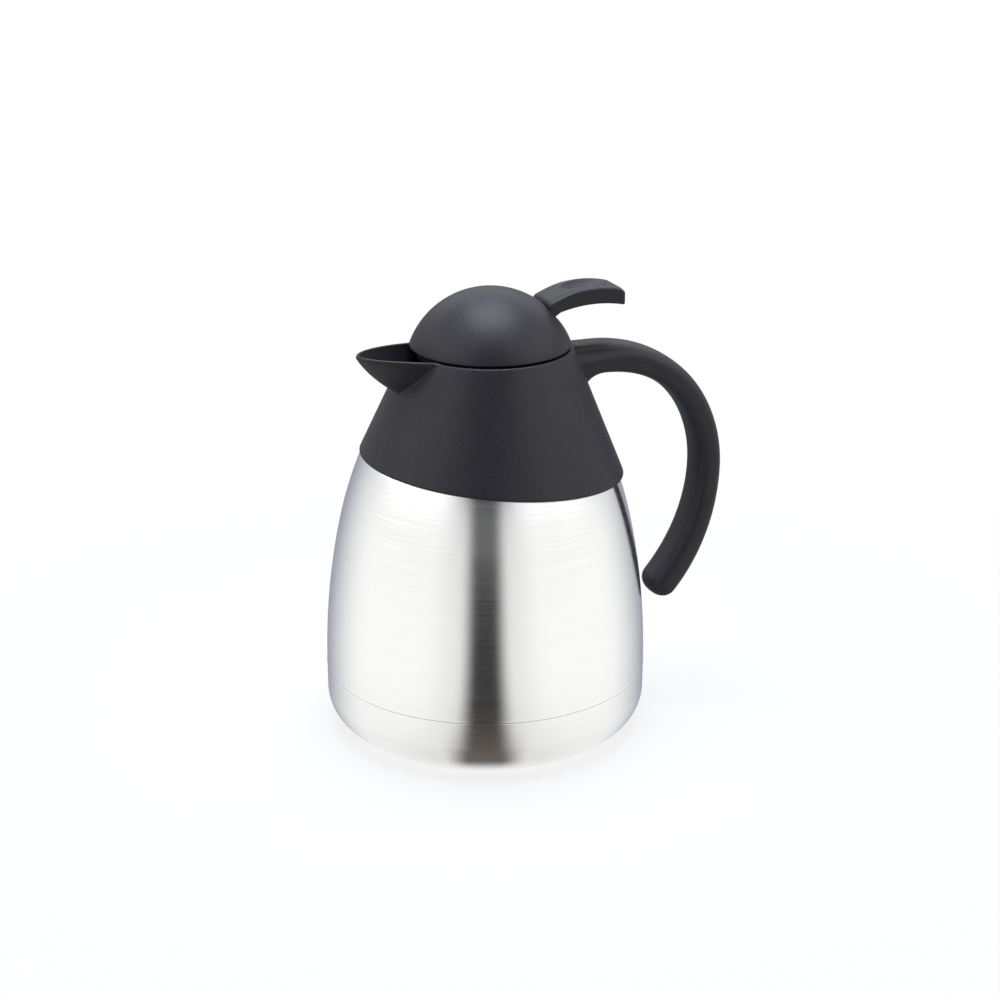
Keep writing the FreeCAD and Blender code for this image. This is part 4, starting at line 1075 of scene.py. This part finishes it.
def crown_height(x):
    """The bowed top along the middle: a 43-mm arch that lifts towards the tip, then the tip's own round."""
    lift = TIP_LIFT * np.clip((x - CROWN_MIDDLE) / TIP_RUN, 0, 1) ** 1.5
    sink = ROOT_SINK * smooth((CROWN_MIDDLE - x) / SINK_RUN)
    return np.where(x < TIP_FROM, arch(x, *CROWN) + lift - sink, arch(x, *TIP_ARCH))


def bowl_height(x, y):
    """The thumb dish: a bowl 3 mm deep, 12 mm wide and 24 mm long where it meets the top."""
    return DISH_Z + y ** 2 / DISH_ACROSS + (x - DISH_X) ** 2 / DISH_ALONG


def lever_top(x, y):
    """The lower of facet and dish, with facets that fall 0.6 mm over 3.3 mm; inside the lid, the drum."""
    facet = crown_height(x) - np.maximum(np.abs(y) - FACET_FROM, 0) * FACET_SLOPE
    facet = facet - np.clip(LEVER_ROOT + ROOT_ROUND - x, 0, ROOT_ROUND) ** 2 * ROOT_FALL
    top = -soft_max(-facet, -bowl_height(x, y), RIM_BLEND)
    heel = PIVOT[1] + DRUM - (x - PIVOT[0]) * HEEL_SLOPE
    hidden = np.where(x < PIVOT[0], arch(x, *PIVOT, DRUM), heel)
    return np.where(x < LEVER_ROOT, hidden + 0 * y, top)


print(f"dish depth {crown_height(DISH_X) - DISH_Z:.1f} mm")

# %% The lever's underside
UNDER_SLOPE = 0.656
HOLLOW_FROM = 30.5
HOLLOW = (46.274, 125.44, 60.0)


def lever_underside(x):
    """Hollow underside, a slope up from the drum, and the drum's own round."""
    slope = PIVOT[1] + (x - PIVOT[0] - DRUM) * UNDER_SLOPE
    low = np.where(x > HOLLOW_FROM, arch(x, *HOLLOW), slope)
    return np.where(x < PIVOT[0] + DRUM, 2 * PIVOT[1] - arch(x, *PIVOT, DRUM), low)


print(f"lever thickness at the dish {DISH_Z - lever_underside(DISH_X):.1f} mm")

# %% The lever's sections
LEVER_HALF = 9.3
LEVER_TIP = 60.5
TIP_TUCK = 1.2
LOW_TUCK = 0.8
LOW_EDGE = 0.5
TOP_EDGE = 1.0
RIM_MARGIN = 0.2


def lever_stations():
    """Places along the lever: round the drum, up the heel, along the top, and close together at the tip."""
    drum = PIVOT[0] - DRUM * np.cos(np.linspace(0.1, np.pi / 2, 12))
    heel = np.linspace(20, LEVER_ROOT - 0.01, 8)
    top = np.linspace(LEVER_ROOT, LEVER_TIP - TIP_TUCK - 0.1, 90)
    tip = LEVER_TIP - TIP_TUCK * (1 - np.sin(np.linspace(0, np.pi / 2, 10)))
    return np.concatenate((drum, heel, top, tip))[:, None]


def lever_grid():
    """Closed sections along the lever: flat underside, round lower edges, side faces and the top."""
    x = lever_stations()
    closing = np.clip((x - LEVER_TIP + TIP_TUCK) / TIP_TUCK, 0, 1)
    tuck = 1 - np.sqrt(1 - closing ** 2)
    half = LEVER_HALF - TIP_TUCK * tuck
    low = lever_underside(x) + LOW_TUCK * tuck
    quarter = np.linspace(0, np.pi / 2, 7)[None]
    flat = np.linspace(0, 1, 5)[None, :-1] * (half - LOW_EDGE)
    shelf_half = half - TOP_EDGE
    rim = np.sqrt(np.maximum(DISH_ACROSS * (crown_height(x) - bowl_height(x, 0.0)), 1.0))
    facet = shelf_half + (rim + RIM_MARGIN - shelf_half) * np.linspace(0, 1, 10)[None, 1:]
    over = np.concatenate((facet, rim, (rim - RIM_MARGIN) * np.linspace(1, 0, 30)[None]), 1)
    shelf = np.maximum(lever_top(x, shelf_half), low + LOW_EDGE + TOP_EDGE)
    side = np.concatenate((flat, half - LOW_EDGE + LOW_EDGE * np.sin(quarter),
                           shelf_half + TOP_EDGE * np.cos(quarter), over), 1)
    up = np.concatenate((low + 0 * flat, low + LOW_EDGE - LOW_EDGE * np.cos(quarter),
                         shelf - TOP_EDGE + TOP_EDGE * np.sin(quarter),
                         np.maximum(lever_top(x, over), low + LOW_EDGE)), 1)
    across = np.concatenate((side, -side[:, -2:0:-1]), 1)
    up = np.concatenate((up, up[:, -2:0:-1]), 1)
    return closed_ends(np.stack((x + 0 * up, across, up), -1))


lever_shape = lever_grid()
print("lever sections and points round each:", lever_shape[0].shape[:2])

# %% The lever's arms
ARM_R = 1.6
ARM_END = 16.0
ARM_INNER = (3.0, -1.0)
ARM_OUTER = (5.0, 1.0)
ARM_ROUND = 0.3


def arm_grid(side):
    """One of the two arms that lift the stem's cap: a bar with a round nose."""
    nose = LID_X - ARM_R * np.cos(np.linspace(0.1, np.pi / 2, 9))
    x = np.concatenate((nose, np.linspace(3, ARM_END, 6)))[:, None]
    half = np.where(x < LID_X, np.sqrt(np.maximum(ARM_R ** 2 - (x - LID_X) ** 2, 0)), ARM_R)
    across, up = rounded_box(*ARM_INNER, *ARM_OUTER, ARM_ROUND).T
    return closed_ends(np.stack((x + 0 * across, side * across + 0 * x, PIVOT[1] + half * up), -1))


make_piece("thumb_lever", [lever_shape, arm_grid(-1), arm_grid(1)], "lever", "lever", 38.0)

# %% [markdown]
# ## The lid's dome
# The dome is a thin cap of a ball with a slot at its back for the lever. The cap is turned. The slot's
# walls cross the turned grid at no natural line, so a formula would be clumsy there and a rounded block
# cuts the slot out instead.

# %% The turned dome
DOME_R = 36.459
DOME_Z = 158.041
DOME_WALL = 2.2
DOME_EDGE_R = 34.25
EDGE_TURN = 0.03
SNAP_R = 29.1


def dome_profile():
    """Outer arc of the ball, inner arc 2.2 mm below it, and the ring that snaps on the stopper."""
    up = np.linspace(math.acos(DOME_EDGE_R / DOME_R) + EDGE_TURN, np.pi / 2, 90)
    outer = np.stack((DOME_R * np.cos(up), DOME_Z + DOME_R * np.sin(up)), 1)
    ball = DOME_R - DOME_WALL
    down = np.linspace(np.pi / 2, math.acos(SNAP_R / ball), 60)
    inner = np.stack((ball * np.cos(down), DOME_Z + ball * np.sin(down)), 1)
    ring = [(SNAP_R, 169.0), (SNAP_R + 2.0, 169.0), (SNAP_R + 2.0, 170.4), (33.4, 170.4), (33.85, 170.5),
            (34.08, 170.8)]
    return np.concatenate((outer, inner, np.array(ring)))


dome = make_piece("domed_lid", [turned(dome_profile(), LID_X, 260)], "lid", "lid_dome")

# %% The slot in the dome
SLOT_LOW = (24.5, -9.8, 174.2)
SLOT_HIGH = (80.0, 9.8, 205.0)
SLOT_ROUND = 1.6


def block_grid(low, high, radius):
    """An upright block with rounded corners in plan."""
    plan = rounded_box(*low[:2], *high[:2], radius)
    ends = [np.column_stack((plan, np.full(len(plan), z))) for z in (low[2], high[2])]
    return closed_ends(np.stack(ends))


def cut_away(piece, tool_mesh):
    """Cut a tool out of a piece for good, and leave no modifier behind."""
    tool = bpy.data.objects.new("tool", tool_mesh)
    bpy.context.scene.collection.objects.link(tool)
    slot = piece.modifiers.new("slot", "BOOLEAN")
    slot.operation = "DIFFERENCE"
    slot.solver = "EXACT"
    slot.object = tool
    bpy.context.view_layer.update()
    shaped = bpy.data.meshes.new_from_object(piece.evaluated_get(bpy.context.evaluated_depsgraph_get()))
    piece.modifiers.clear()
    piece.data = shaped
    bpy.data.objects.remove(tool)
    shaped.shade_smooth()
    shaped.set_sharp_from_angle(angle=math.radians(CREASE))


cut_away(dome, make_mesh("slot_block", [block_grid(SLOT_LOW, SLOT_HIGH, SLOT_ROUND)], 30.0))
print("dome faces after the cut:", len(dome.data.polygons))

# %% [markdown]
# ## The seals
# The seals are moulded silicone rings. A torus would be round in section, and these are flat with rounded
# edges, so each is a rounded rectangle that is turned.

# %% Seals
def seal_ring(name, node, body, inner, outer, low, high, radius):
    """Turn a rounded rectangle about the bottle's axis, or about the lid's where it belongs to the lid."""
    profile = rounded_box(inner, low, outer, high, radius)
    make_piece(name, [turned(profile, LID_X if body != "jug" else 0.0, 160)], body, node)


seal_ring("lid_seal_ring", "lid_gasket", "lid_seal",
          inner=22.65, outer=28.0, low=157.0, high=158.6, radius=0.5)
seal_ring("neck_seal_ring", "neck_gasket", "jug",
          inner=28.5, outer=31.0, low=152.5, high=154.0, radius=0.4)
seal_ring("valve_washer", "valve_seal", "valve",
          inner=5.6, outer=11.0, low=140.5, high=142.0, radius=0.4)
seal_ring("stem_seal_ring", "stem_oring", "lid",
          inner=2.6, outer=4.2, low=171.5, high=173.1, radius=0.79)

# %% [markdown]
# ## The valve spring
# The spring is a wire carried along a helix whose end coils lie close. The Screw modifier gives an even
# pitch only, so the climb is added up step by step here.

# %% Valve spring
COILS = 6
COIL_STEPS = 60
COIL_R = 6.5
WIRE_R = 0.55
COIL_LOW = 145.06
COIL_LENGTH = 23.38
END_SHARE = 0.16
END_CLIMB = 0.25


def spring_grid():
    """A wire of radius w round a helix: z rises slowly at both ends and evenly between them."""
    share = np.linspace(0, 1, COILS * COIL_STEPS + 1)
    climb = smooth(share / END_SHARE)
    rise = np.cumsum(END_CLIMB + np.minimum(climb, climb[::-1]))
    height = COIL_LOW + COIL_LENGTH * (rise - rise[0]) / (rise[-1] - rise[0])
    angle = share * COILS * 2 * np.pi
    middle = np.stack((LID_X + COIL_R * np.cos(angle), COIL_R * np.sin(angle), height), 1)
    outward = np.stack((np.cos(angle), np.sin(angle), 0 * angle), 1)
    along = np.gradient(middle, axis=0)
    along /= np.linalg.norm(along, axis=1)[:, None]
    upward = np.cross(outward, along)
    round_wire = np.linspace(0, 2 * np.pi, 14, endpoint=False)[None, :, None]
    spoke = np.cos(round_wire) * outward[:, None] + np.sin(round_wire) * upward[:, None]
    return closed_ends(middle[:, None] + WIRE_R * spoke)


spring = make_piece("valve_coil", [spring_grid()], "lid", "valve_spring")
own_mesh(spring)

# %% [markdown]
